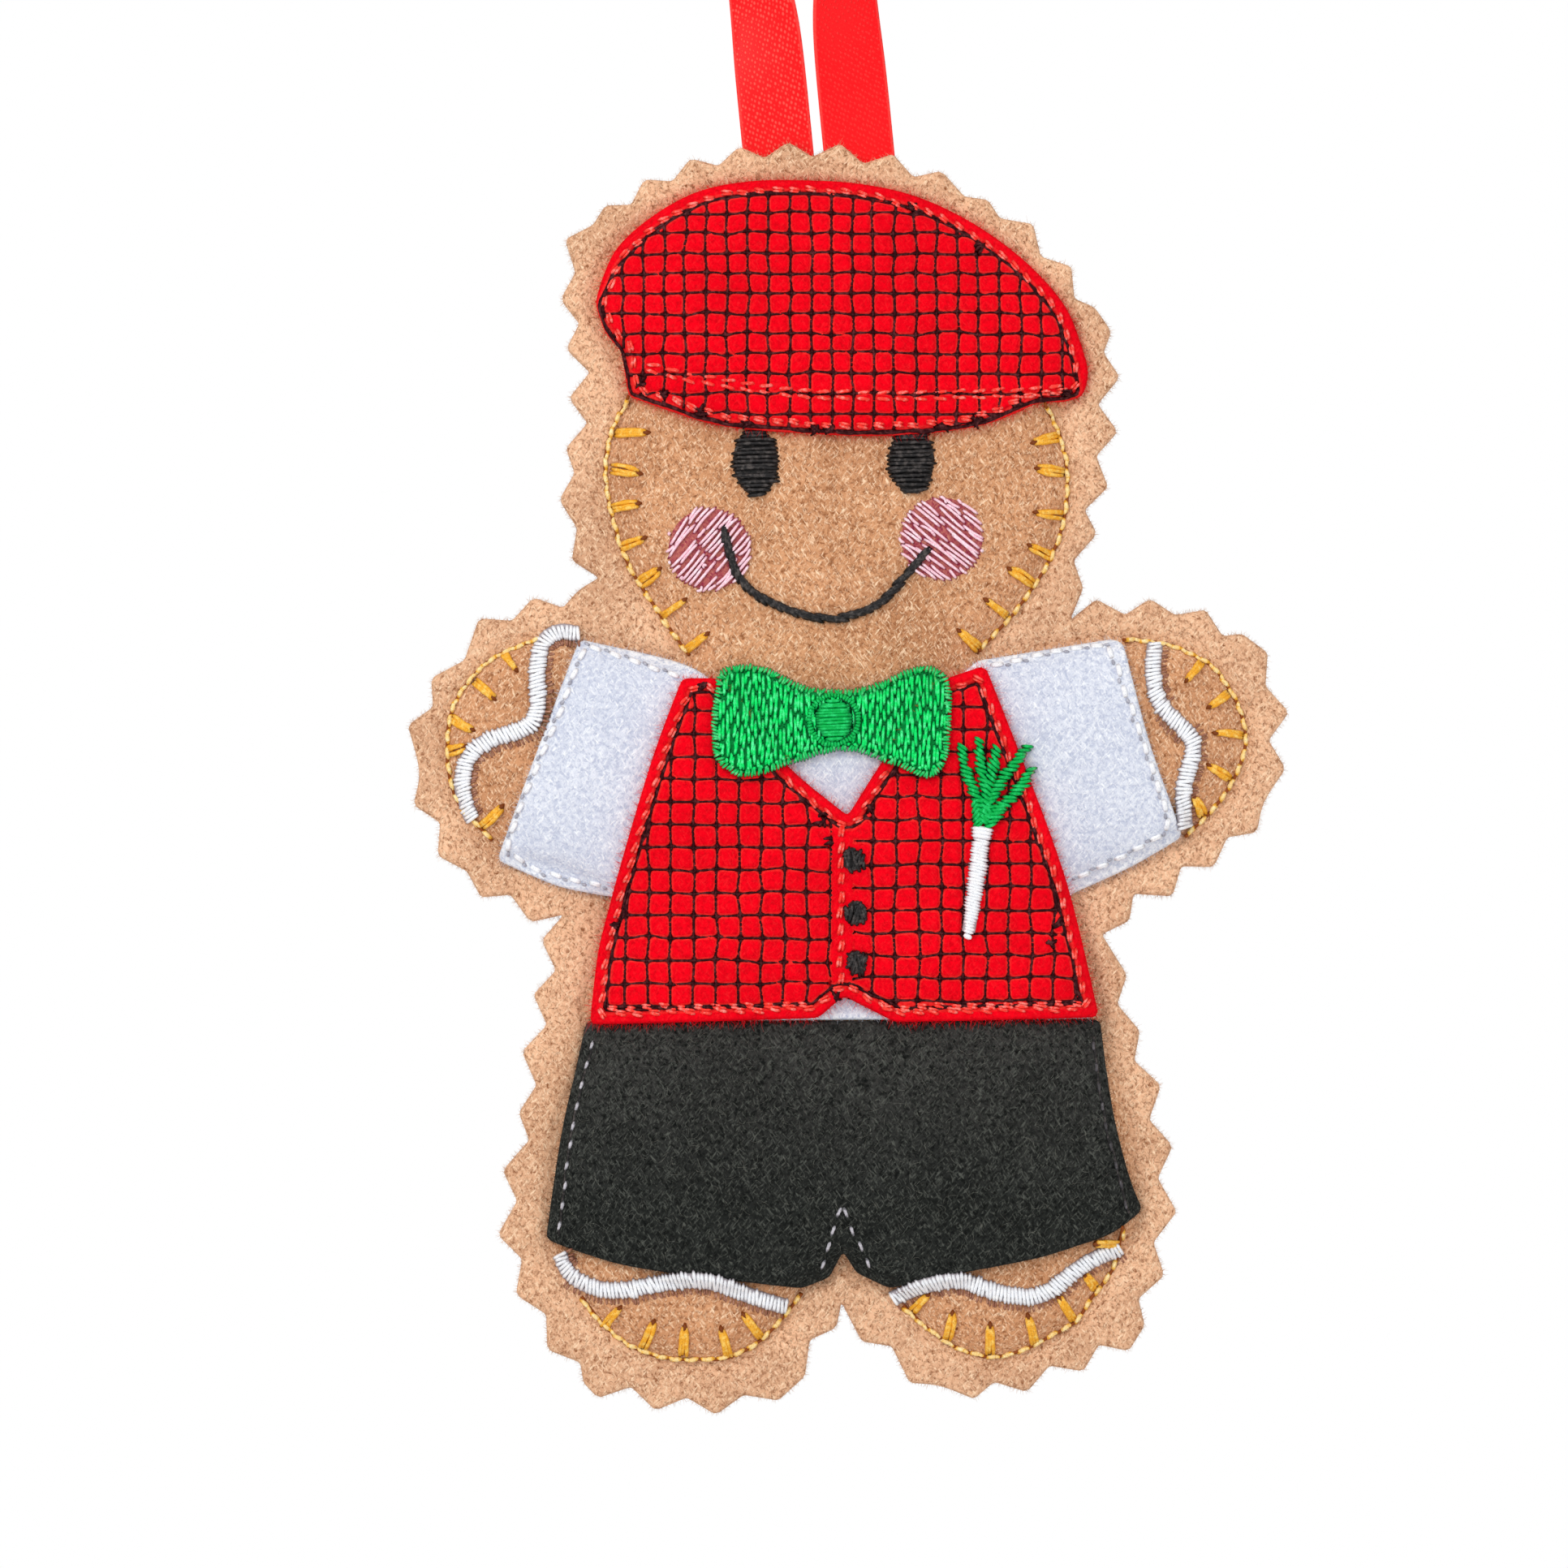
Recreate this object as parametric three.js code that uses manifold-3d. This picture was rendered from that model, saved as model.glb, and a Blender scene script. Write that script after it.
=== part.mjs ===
// A felt gingerbread man that hangs from a ribbon loop.
//
// Two tan felt panels with pinked edges are sewn together round a little stuffing, over the two
// ends of the ribbon. A cap, a shirt, a vest and shorts of thinner felt are sewn on the front, with
// the face, the buttons, the bow tie, the leek and the icing stitched in thread.
//
// Everything is drawn on the sheet of the figure: x to its right, y up and z towards the viewer,
// with the origin at the inside top of the ribbon loop, where a hook bears. A last turn stands the
// sheet up, so that z is up and the front faces -y.

import * as THREE from "three";
import { mergeVertices } from "three/addons/utils/BufferGeometryUtils.js";
import Module from "manifold-3d";

const wasm = await Module();
wasm.setup();

// Driving dimensions, in millimetres.
const FIGURE_WIDTH = 74.5;
const FELT_THICKNESS = 1.2;
const APPLIQUE_THICKNESS = 1;
const THREAD_THICKNESS = 0.25;
const SATIN_THICKNESS = 0.4;
const STABILISER_THICKNESS = 0.1;
const FRONT_PUFF = 2.2;
const BACK_PUFF = 1.2;
const PUFF_REACH = 10; // from the seam to where the felt is fully raised
const LAY_GAP = 0.1; // between a layer and the one that it lies on
const SIDE_GAP = 0.3; // round a piece that another one stops at

const RIBBON_WIDTH = 6;
const RIBBON_THICKNESS = 0.4;
const LOOP_HEIGHT = 62; // from the top of the head to the inside top of the loop
const LOOP_RADIUS = 12.4; // of the ribbon's middle line round the top
const LOOP_STRAIGHT = 8; // of each strand above the fold
const LOOP_LOWER_PULL = 18; // how strongly the lower end of a strand's curve keeps its lean
const LOOP_UPPER_PULL = 16; // how strongly the upper end keeps upright
const TWIST_HEIGHT = 33; // in which a strand makes its quarter turn
const FOLD_LIFT = 0.6; // of the ribbon's folding line above the head
const FOLD_GAP_ABOVE = 0.05; // from the folding line to the loop
const FOLD_GAP_BELOW = 0.3; // from the folding line to the sewn ends

const GOLD_WIDTH = 0.55;
const TICK_WIDTH = 0.8;
const ICING_WIDTH = 1;
const SMILE_WIDTH = 0.75;
const STITCH_WIDTH = 0.55;
const BRIM_STITCH_WIDTH = 0.8;
const BOBBIN_WIDTH = 0.55;
const PLAID_LINE_WIDTH = 0.4;
const CAP_PLAID_PITCH = { across: 1.77, down: 1.7 };
const VEST_PLAID_PITCH = { across: 1.91, down: 1.91 };
const EDGE_STITCH_INSET = 0.7;
const LEEK_STEM_WIDTH = 1.6;
const LEEK_LEAF_WIDTH = 1;

const CUT_OVERRUN = 20; // how far a cutting prism stands out of the sheet on each side

// The outlines are drawn by eye on a photograph of the figure, in its pixels: across and down.
const FIGURE_WIDTH_PX = 1086;
const HEAD_TOP_PX = 176;
const LOOP_TOP_ACROSS_PX = 955;
const PIXEL = FIGURE_WIDTH / FIGURE_WIDTH_PX;

// Levels above the middle of the sheet, before the puff is added.
const PANEL_INSIDE = RIBBON_THICKNESS / 2 + LAY_GAP;
const PANEL_FACE = PANEL_INSIDE + FELT_THICKNESS;
const STABILISER_TOP = PANEL_INSIDE - LAY_GAP;
const STABILISER_BOTTOM = STABILISER_TOP - STABILISER_THICKNESS;
const GARMENT_FACE = PANEL_FACE + LAY_GAP + APPLIQUE_THICKNESS;
const GARMENT_STITCH_FACE = GARMENT_FACE + LAY_GAP + THREAD_THICKNESS;
const BRIM_STITCH_FACE = GARMENT_STITCH_FACE + LAY_GAP + THREAD_THICKNESS;
const VEST_FACE = GARMENT_FACE + LAY_GAP + APPLIQUE_THICKNESS;
const VEST_STITCH_FACE = VEST_FACE + LAY_GAP + THREAD_THICKNESS;
const BOW_FACE = VEST_STITCH_FACE + LAY_GAP + SATIN_THICKNESS;
const KNOT_FACE = BOW_FACE + LAY_GAP + SATIN_THICKNESS;
const PANEL_STITCH_FACE = PANEL_FACE + LAY_GAP + THREAD_THICKNESS;
const CHEEK_FACE = PANEL_STITCH_FACE;
const EYE_FACE = PANEL_FACE + LAY_GAP + SATIN_THICKNESS;
const SMILE_FACE = CHEEK_FACE + LAY_GAP + SATIN_THICKNESS;
const ICING_FACE = PANEL_STITCH_FACE + LAY_GAP + SATIN_THICKNESS;

// Steps and shares.
const QUILT_COLUMNS = 10;
const QUILT_ROWS = 14;
const SPAN_STEPS = 2;
const THREAD_SPAN_STEPS = 2;
const LOOP_STEPS = 48;
const ROUND_STEPS = 16;
const PLAID_LINE_STEP = 3; // each net carries every third line of the plaid
const TOOTH_DEPTH_SHARE = 0.33;
const MITRE_SHARE = 0.5;

// Pinked edge of both panels, clockwise: valleys, each with the number of teeth since the last one.
const PINKED_EDGE_PX = [
  // head, from the left side of the neck
  [[737, 711, 1], [710, 650, 1], [723, 520, 2], [713, 397, 2], [708, 334, 1], [777, 250, 2],
   [885, 202, 2], [1001, 191, 2], [1126, 216, 2], [1233, 267, 2], [1325, 366, 2], [1361, 433, 1],
   [1352, 561, 2], [1324, 690, 2]],
  // right arm
  [[1320, 763, 1], [1449, 757, 2], [1508, 783, 1], [1561, 845, 1], [1559, 990, 2], [1457, 1068, 2]],
  // right side and leg
  [[1359, 1152, 2], [1399, 1308, 2], [1428, 1453, 2], [1404, 1602, 2], [1355, 1659, 1],
   [1294, 1685, 1], [1158, 1710, 2], [1099, 1661, 1]],
  // left leg and side
  [[1037, 1607, 1], [998, 1653, 1], [916, 1721, 1], [777, 1711, 2], [714, 1681, 1], [642, 1553, 2],
   [636, 1481, 1], [660, 1338, 2], [684, 1196, 2]],
  // left arm
  [[693, 1128, 1], [574, 1074, 2], [541, 1014, 1], [515, 953, 1], [571, 813, 2], [630, 764, 1],
   [693, 748, 1]],
];

// Corners of that edge which its even steps miss, clockwise from the head's left side.
const ODD_CORNERS_PX = [
  [688, 615], [707, 582], [726, 457], [695, 293], [730, 275], [745, 251], [1189, 240], [1218, 244],
  [1371, 407], [1354, 497], [1353, 657], [1336, 724], [1564, 804], [1565, 912], [1586, 947],
  [1398, 1102], [1393, 1135], [1390, 1202], [1378, 1238], [1406, 1271], [1412, 1635], [1336, 1692],
  [1201, 1726], [1121, 1706], [1062, 1655], [1031, 1638], [959, 1728], [736, 1725], [612, 1523],
  [651, 1406], [638, 1372], [532, 871], [501, 893], [589, 761], [712, 727],
];

// The second corners of blunt teeth.
const BLUNT_CORNERS_PX = [[1350, 377], [1532, 780], [1392, 1667], [992, 1698], [718, 1706]];

// The other outlines are lists of smooth stretches, and each stretch runs on to the next one.
const SEAM_PX = [
  [[745, 408], [733, 372], [760, 305], [860, 240], [986, 228], [1120, 246], [1235, 306], [1310, 388],
   [1332, 455]],
  [[1322, 484], [1298, 519]],
  [[1307, 537], [1316, 609], [1277, 720]],
  [[1206, 808]],
  [[1371, 787], [1442, 793], [1503, 828], [1538, 912], [1519, 972], [1456, 1030]],
  [[1315, 1094], [1343, 1204], [1357, 1273], [1404, 1498]],
  [[1368, 1564], [1319, 1635], [1225, 1676], [1143, 1640], [1105, 1590]],
  [[1088, 1586], [1055, 1569]],
  [[1039, 1542]],
  [[1022, 1573], [985, 1588]],
  [[973, 1624], [902, 1676], [803, 1671], [715, 1599]],
  [[676, 1530], [693, 1388], [731, 1262]],
  [[722, 1244], [756, 1105]],
  [[612, 1058], [561, 984], [550, 895], [603, 813], [674, 783]],
  [[714, 787]],
  [[850, 818]],
  [[822, 770], [767, 680], [745, 582], [774, 496]],
  [[768, 450]],
];
const STUFFING_PX = [
  [[880, 330], [990, 304], [1130, 318], [1240, 400], [1270, 560], [1240, 690], [1170, 790]],
  [[1190, 850], [1370, 835], [1470, 870], [1490, 930], [1450, 985]],
  [[1290, 1060], [1300, 1200], [1330, 1400], [1345, 1480], [1310, 1580], [1225, 1630],
   [1140, 1590], [1075, 1520]],
  [[1036, 1490]],
  [[1000, 1530], [960, 1600], [860, 1635], [760, 1600], [720, 1520], [740, 1400], [775, 1200]],
  [[790, 1060], [650, 1030], [600, 960], [600, 890], [660, 835]],
  [[850, 865]],
  [[870, 800], [810, 690], [790, 560], [800, 430]],
];
const CAP_PX = [
  [[733, 372], [760, 305], [860, 235], [986, 221], [1120, 238], [1235, 298], [1315, 380]],
  [[1341, 455], [1334, 488]],
  [[1280, 497], [1213, 524], [1102, 538], [986, 535], [879, 524]],
  [[774, 488], [768, 450]],
  [[765, 432], [745, 408]],
];
const CAP_BRIM_PX = [[792, 453], [879, 472], [1012, 488], [1191, 488], [1312, 481]];
const SHIRT_PX = [
  [[714, 787]],
  [[856, 824]],
  [[900, 860]],
  [[1150, 860]],
  [[1204, 814], [1300, 798]],
  [[1371, 787]],
  [[1384, 792], [1415, 913]],
  [[1458, 1031], [1395, 1068]],
  [[1318, 1103]],
  [[1349, 1255]],
  [[738, 1257]],
  [[729, 1242]],
  [[758, 1106], [690, 1093]],
  [[612, 1060]],
];
const SLEEVE_STITCH_PX = {
  left: [[[846, 832]], [[716, 799]], [[624, 1054], [690, 1083]], [[750, 1096]]],
  right: [[[1216, 823], [1300, 808]], [[1372, 798]], [[1446, 1024], [1385, 1058]], [[1324, 1088]]],
};
const VEST_PX = [
  [[841, 836]],
  [[885, 836]],
  [[968, 941]],
  [[1044, 1005]],
  [[1088, 936]],
  [[1160, 838]],
  [[1213, 820], [1271, 969], [1318, 1101]],
  [[1343, 1204]],
  [[1354, 1253]],
  [[1102, 1258]],
  [[1039, 1226]],
  [[1008, 1253]],
  [[727, 1262], [737, 1173], [758, 1092], [807, 927]],
];
const VEST_OPENING_PX = [[1036, 1013], [1036, 1214]];
const FIGURE_BOX_PX = { left: 480, right: 1600, top: 160, bottom: 1760 };
const VEST_PLAID_PX = {
  left: { start: [772, 1016], left: FIGURE_BOX_PX.left, right: 1026 },
  right: { start: [1075, 1037], left: 1049, right: FIGURE_BOX_PX.right },
};
const CAP_PLAID_START_PX = [767, 264];
const SHORTS_PX = [
  [[722, 1266]],
  [[1356, 1264], [1373, 1377], [1395, 1459]],
  [[1409, 1492]],
  [[1368, 1520], [1286, 1547], [1176, 1569]],
  [[1096, 1588]],
  [[1055, 1569]],
  [[1039, 1542]],
  [[1022, 1575]],
  [[989, 1588]],
  [[929, 1580], [765, 1557]],
  [[672, 1528], [693, 1388]],
];
const SHORTS_STITCH_PX = {
  left: [[733, 1277], [706, 1388], [688, 1522]],
  right: [[1346, 1277], [1360, 1377], [1390, 1495]],
};
const CROTCH_STITCH_PX = [[1011, 1569], [1036, 1481], [1074, 1566]];
const BUTTONS_PX = { top: [1050, 1059], middle: [1055, 1124], bottom: [1055, 1185] };
const BUTTON_RADII_PX = [13, 18];
const BOW_PX = [
  [[883, 838], [923, 820], [986, 845], [1030, 851], [1088, 840], [1130, 825]],
  [[1164, 836], [1170, 887], [1160, 945]],
  [[1140, 956], [1088, 934], [1030, 927], [970, 940], [923, 956]],
  [[901, 954], [883, 932]],
];
const KNOT_PX = [1027, 887];
const KNOT_RADII_PX = [30, 30];
const LEEK_STEM_PX = [[1209, 1024], [1193, 1150]];
const LEEK_FORK_PX = [1213, 1012];
const LEEK_TIPS_PX = [[1187, 918], [1207, 909], [1229, 923], [1265, 918], [1269, 950]];
const EYES_PX = {
  left: [[[931, 531], [957, 545], [960, 575], [944, 608], [922, 611], [904, 580], [903, 548]]],
  right: [[[1123, 530], [1149, 545], [1152, 575], [1136, 606], [1116, 608], [1097, 580], [1094, 545]]],
};
const CHEEKS_PX = { left: [872, 676], right: [1160, 664] };
const CHEEK_RADII_PX = [50, 50];
const SMILE_PX = [[892, 655], [915, 718], [961, 748], [1027, 763], [1081, 745], [1124, 700], [1140, 680]];

// Each outline stitch is a line with ticks that point inwards.
const HEAD_STITCH_PX = {
  left: {
    line: [[770, 500], [751, 537], [745, 582], [767, 680], [807, 748], [849, 807]],
    ticks: [[[753, 533], [800, 533]], [[750, 577], [791, 584]], [[752, 626], [789, 620]],
            [[762, 675], [796, 662]], [[785, 719], [814, 700]], [[813, 761], [845, 738]],
            [[842, 803], [873, 780]]],
  },
  right: {
    line: [[1290, 510], [1307, 537], [1316, 609], [1300, 676], [1257, 746], [1206, 802]],
    ticks: [[[1308, 537], [1271, 546]], [[1314, 582], [1276, 577]], [[1314, 633], [1274, 631]],
            [[1300, 687], [1267, 671]], [[1276, 722], [1242, 700]], [[1243, 760], [1213, 738]],
            [[1208, 801], [1180, 776]]],
  },
};
const HAND_STITCH_PX = {
  left: {
    line: [[668, 785], [603, 813], [561, 863], [550, 911], [561, 984], [606, 1036]],
    ticks: [[[618, 803], [637, 827]], [[582, 838], [610, 862]], [[553, 883], [584, 900]],
            [[550, 926], [575, 919]], [[590, 1020], [620, 992]]],
  },
  right: {
    line: [[1392, 790], [1442, 793], [1503, 828], [1537, 902], [1519, 972], [1464, 1029]],
    ticks: [[[1488, 815], [1462, 842]], [[1522, 855], [1490, 872]], [[1537, 908], [1497, 905]],
            [[1522, 963], [1490, 944]], [[1490, 1008], [1474, 981]]],
  },
};
const FOOT_STITCH_PX = {
  left: {
    line: [[705, 1580], [765, 1651], [847, 1679], [902, 1676], [973, 1624], [986, 1602]],
    ticks: [[[743, 1640], [765, 1610]], [[790, 1666], [806, 1627]], [[841, 1675], [844, 1632]],
            [[898, 1677], [888, 1635]], [[939, 1652], [915, 1618]]],
  },
  right: {
    line: [[1113, 1606], [1143, 1640], [1225, 1676], [1319, 1635], [1346, 1597], [1382, 1530]],
    ticks: [[[1123, 1623], [1143, 1599]], [[1167, 1655], [1173, 1618]], [[1220, 1675], [1220, 1632]],
            [[1275, 1663], [1266, 1621]], [[1323, 1632], [1308, 1602]], [[1356, 1592], [1340, 1575]]],
  },
};
const ICING_PX = {
  left_hand: [[688, 781], [662, 810], [662, 866], [631, 902], [584, 925], [568, 967], [578, 1006]],
  right_hand: [[1424, 795], [1421, 837], [1442, 884], [1471, 917], [1462, 958], [1462, 1019]],
  left_foot: [[700, 1561], [732, 1586], [808, 1585], [847, 1580], [885, 1588], [924, 1601], [965, 1619]],
  right_foot: [[1105, 1605], [1148, 1586], [1187, 1581], [1225, 1591], [1269, 1599], [1308, 1588],
               [1374, 1547]],
};
const LEFT_STRAND_PX = [957.5, 171];
const RIGHT_STRAND_PX = [1057.5, 171];
const SEWN_END_DOWN_PX = 292; // where the ribbon's ends stop, above the stuffing
const RIBBON_LEAN_SHARE = 0.1; // sideways per length, towards the loop

// Materials.
const felt = (color) => new THREE.MeshStandardMaterial({ color, roughness: 0.95, metalness: 0 });
const thread = (color) => new THREE.MeshStandardMaterial({ color, roughness: 0.55, metalness: 0 });
const TAN_FELT = felt("#cda07a");
const RED_FELT = felt("#e00c20");
const WHITE_FELT = felt("#e2e6f0");
const BLACK_FELT = felt("#262826");
const WHITE_FIBRE = felt("#f2f0ec");
const RED_THREAD = thread("#e8402c");
const BLACK_THREAD = thread("#2a1414");
const EYE_THREAD = thread("#161616");
const WHITE_THREAD = thread("#fbfbfb");
const GOLD_THREAD = thread("#e1a532");
const GREEN_THREAD = thread("#0ca54b");
const PINK_THREAD = thread("#f4bccf");
const TAN_THREAD = thread("#b98a62");
const RED_RIBBON = new THREE.MeshStandardMaterial({ color: "#e81428", roughness: 0.4, metalness: 0 });

// Points and outlines.

function placed([across, down]) {
  return new THREE.Vector2(
    (across - LOOP_TOP_ACROSS_PX) * PIXEL,
    (HEAD_TOP_PX - down) * PIXEL - LOOP_HEIGHT,
  );
}

function spline(points, closed = false) {
  const corners = points.map((point) => new THREE.Vector3(point.x, point.y, 0));
  return new THREE.CatmullRomCurve3(corners, closed, "centripetal");
}

function flat(point) {
  return new THREE.Vector2(point.x, point.y);
}

function smoothPath(pointsPx, steps = THREAD_SPAN_STEPS) {
  const points = pointsPx.map(placed);
  return spline(points).getPoints((points.length - 1) * steps).map(flat);
}

function counterClockwise(outline) {
  return THREE.ShapeUtils.isClockWise(outline) ? outline.toReversed() : outline;
}

// One stretch of an outline, from its first point up to the first point of the next stretch.
function stretchPoints(stretchPx, nextPx, steps) {
  const points = [...stretchPx, nextPx[0]].map(placed);
  if (points.length === 2) {
    return points.slice(0, 1);
  }
  return spline(points).getPoints((points.length - 1) * steps).map(flat).slice(0, -1);
}

function stretchedPath(stretchesPx) {
  const last = stretchesPx.at(-1);
  const path = stretchesPx.slice(0, -1).flatMap((stretch, i) =>
    stretchPoints(stretch, stretchesPx[i + 1], THREAD_SPAN_STEPS));
  return [...path, placed(last.at(-1))];
}

function smoothOutline(stretchesPx, steps = SPAN_STEPS) {
  if (stretchesPx.length === 1) {
    const points = stretchesPx[0].map(placed);
    return counterClockwise(spline(points, true).getPoints(points.length * steps).map(flat).slice(0, -1));
  }
  return counterClockwise(stretchesPx.flatMap((stretch, i) =>
    stretchPoints(stretch, stretchesPx[(i + 1) % stretchesPx.length], steps)));
}

function roundOutline(centrePx, [acrossPx, downPx]) {
  const centre = placed(centrePx);
  const curve = new THREE.EllipseCurve(centre.x, centre.y, acrossPx * PIXEL, downPx * PIXEL);
  return curve.getPoints(ROUND_STEPS).slice(0, -1);
}

function rectangle(low, high) {
  return [low, new THREE.Vector2(high.x, low.y), high, new THREE.Vector2(low.x, high.y)];
}

function rightNormal(from, to) {
  const along = to.clone().sub(from).normalize();
  return new THREE.Vector2(along.y, -along.x);
}

// A path moved sideways to its right, with mitred corners.
function shifted(path, by, closed) {
  const count = path.length;
  return path.map((point, i) => {
    const isFirst = !closed && i === 0;
    const isLast = !closed && i === count - 1;
    const before = isFirst ? null : rightNormal(path.at(i - 1), point);
    const after = isLast ? null : rightNormal(point, path[(i + 1) % count]);
    const one = before ?? after;
    const other = after ?? before;
    const mitre = one.clone().add(other);
    const reach = Math.max(mitre.dot(one), MITRE_SHARE);
    return point.clone().addScaledVector(mitre, by / reach);
  });
}

function grown(outline, by) {
  return shifted(outline, by, true);
}

function strip(path, width) {
  return [...shifted(path, width / 2, false), ...shifted(path, -width / 2, false).toReversed()];
}

// An outline whose corners nearest to some places are moved there.
function drawnTo(outline, placesPx) {
  for (const place of placesPx.map(placed)) {
    const gaps = outline.map((corner) => corner.distanceTo(place));
    outline[gaps.indexOf(Math.min(...gaps))].copy(place);
  }
  return outline;
}

// An outline with more corners, each put in where it makes the shortest detour.
function withCorners(outline, placesPx) {
  return placesPx.map(placed).reduce((corners, place) => {
    const detours = corners.map((corner, i) => {
      const next = corners[(i + 1) % corners.length];
      return corner.distanceTo(place) + place.distanceTo(next) - corner.distanceTo(next);
    });
    return corners.toSpliced(detours.indexOf(Math.min(...detours)) + 1, 0, place);
  }, outline);
}

// Valleys at even steps along a smooth line, with a tooth between each pair.
function pinkedOutline() {
  const valleys = PINKED_EDGE_PX.flatMap((stretch, i) => {
    const next = PINKED_EDGE_PX[(i + 1) % PINKED_EDGE_PX.length][0];
    const knots = [...stretch, next];
    const line = spline(knots.map(placed));
    const spans = knots.length - 1;
    return knots.slice(1).flatMap(([, , teeth], span) =>
      Array.from({ length: teeth }, (_, k) => flat(line.getPoint((span + k / teeth) / spans))));
  });
  return counterClockwise(valleys.flatMap((valley, i) => {
    const next = valleys[(i + 1) % valleys.length];
    const depth = valley.distanceTo(next) * TOOTH_DEPTH_SHARE;
    const tip = valley.clone().add(next).divideScalar(2);
    tip.addScaledVector(rightNormal(valley, next), -depth);
    return [valley, tip];
  }));
}

const PANEL_OUTLINE = withCorners(drawnTo(pinkedOutline(), ODD_CORNERS_PX), BLUNT_CORNERS_PX);
const SEAM_OUTLINE = smoothOutline(SEAM_PX);
const CAP_OUTLINE = smoothOutline(CAP_PX);
const SHIRT_OUTLINE = smoothOutline(SHIRT_PX);
const VEST_OUTLINE = smoothOutline(VEST_PX);
const SHORTS_OUTLINE = smoothOutline(SHORTS_PX);

// Solids.

function solid(geometry) {
  geometry.deleteAttribute("normal");
  geometry.deleteAttribute("uv");
  const merged = mergeVertices(geometry);
  return new wasm.Manifold(new wasm.Mesh({
    numProp: 3,
    vertProperties: new Float32Array(merged.attributes.position.array),
    triVerts: new Uint32Array(merged.index.array),
  }));
}

function prism(outline, from = -CUT_OVERRUN, to = CUT_OVERRUN) {
  const geometry = new THREE.ExtrudeGeometry(new THREE.Shape(outline), {
    depth: to - from,
    bevelEnabled: false,
  });
  geometry.translate(0, 0, from);
  return solid(geometry);
}

function joined(solids) {
  return solids.reduce((all, one) => all.add(one));
}

function distanceToSide(point, start, end) {
  const side = new THREE.Line3(
    new THREE.Vector3(start.x, start.y, 0),
    new THREE.Vector3(end.x, end.y, 0),
  );
  const at = new THREE.Vector3(point.x, point.y, 0);
  return side.closestPointToPoint(at, true, new THREE.Vector3()).distanceTo(at);
}

function isInside(point, outline) {
  return outline.filter((start, i) => {
    const end = outline[(i + 1) % outline.length];
    const crosses = start.y > point.y !== end.y > point.y;
    const across = start.x + ((point.y - start.y) * (end.x - start.x)) / (end.y - start.y);
    return crosses && point.x < across;
  }).length % 2 === 1;
}

// How far the stuffing has raised the felt: 0 outside the seam and 1 well inside it.
function puffShare(x, y) {
  const point = new THREE.Vector2(x, y);
  if (!isInside(point, SEAM_OUTLINE)) {
    return 0;
  }
  const distances = SEAM_OUTLINE.map((start, i) =>
    distanceToSide(point, start, SEAM_OUTLINE[(i + 1) % SEAM_OUTLINE.length]));
  const share = Math.min(Math.min(...distances) / PUFF_REACH, 1);
  return share * (2 - share);
}

const frontSurface = (level) => (share) => level + FRONT_PUFF * share;
const backSurface = (level) => (share) => -level - BACK_PUFF * share;

// A lattice over the whole figure, and the share of the puff at each of its points.
function quiltLattice() {
  const box = new THREE.Box2().setFromPoints(grown(PANEL_OUTLINE, SIDE_GAP));
  const size = box.getSize(new THREE.Vector2());
  const centre = box.getCenter(new THREE.Vector2());
  const lattice = new THREE.PlaneGeometry(size.x, size.y, QUILT_COLUMNS, QUILT_ROWS);
  lattice.translate(centre.x, centre.y, 0);
  const at = lattice.attributes.position;
  for (let i = 0; i < at.count; i += 1) {
    at.setZ(i, puffShare(at.getX(i), at.getY(i)));
  }
  return lattice;
}

const QUILT_LATTICE = quiltLattice();

// The lattice's outer points in order: clockwise from its upper left corner.
function latticeRim() {
  const wide = QUILT_COLUMNS + 1;
  const last = wide * (QUILT_ROWS + 1) - 1;
  const steps = (count) => Array.from({ length: count }, (_, i) => i);
  return [
    ...steps(QUILT_COLUMNS),
    ...steps(QUILT_ROWS).map((i) => QUILT_COLUMNS + i * wide),
    ...steps(QUILT_COLUMNS).map((i) => last - i),
    ...steps(QUILT_ROWS).map((i) => last - QUILT_COLUMNS - i * wide),
  ];
}

// A block over the whole figure whose bottom and top follow two surfaces, with matching facets.
function quiltBlock(lower, upper) {
  const at = QUILT_LATTICE.attributes.position;
  const count = at.count;
  const sheet = (surface) => Array.from({ length: count }, (_, i) =>
    [at.getX(i), at.getY(i), surface(at.getZ(i))]).flat();
  const top = Array.from(QUILT_LATTICE.index.array);
  const bottom = top.map((i) => i + count).toReversed();
  const rim = latticeRim();
  const sides = rim.flatMap((a, i) => {
    const b = rim[(i + 1) % rim.length];
    return [a, b, b + count, a, b + count, a + count];
  });
  const block = new THREE.BufferGeometry();
  const points = new Float32Array([...sheet(upper), ...sheet(lower)]);
  block.setAttribute("position", new THREE.BufferAttribute(points, 3));
  block.setIndex([...top, ...bottom, ...sides]);
  return solid(block);
}

function frontBlock(low, high) {
  return quiltBlock(frontSurface(low), frontSurface(high));
}

// What a piece lies on or stops at: the outlines of another piece and the level of its face.
function coverOf(outlines, face) {
  const prisms = joined(outlines.map((outline) => prism(grown(outline, SIDE_GAP))));
  return prisms.intersect(quiltBlock(() => -CUT_OVERRUN, frontSurface(face + LAY_GAP)));
}

// A piece of the front that fills its outlines from one level up to its face.
function laid(outlines, low, face, covers = []) {
  const filled = joined(outlines.map((outline) => prism(outline))).intersect(frontBlock(low, face));
  return covers.reduce((piece, cover) => piece.subtract(cover), filled);
}

const CAP_COVER = coverOf([CAP_OUTLINE], GARMENT_STITCH_FACE);
const SHIRT_COVER = coverOf([SHIRT_OUTLINE], GARMENT_FACE);
const SHORTS_COVER = coverOf([SHORTS_OUTLINE], GARMENT_FACE);
const VEST_COVER = coverOf([VEST_OUTLINE], VEST_STITCH_FACE);
const GARMENT_COVERS = [CAP_COVER, SHIRT_COVER, SHORTS_COVER, VEST_COVER];

// The figure's own sheets.

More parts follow.
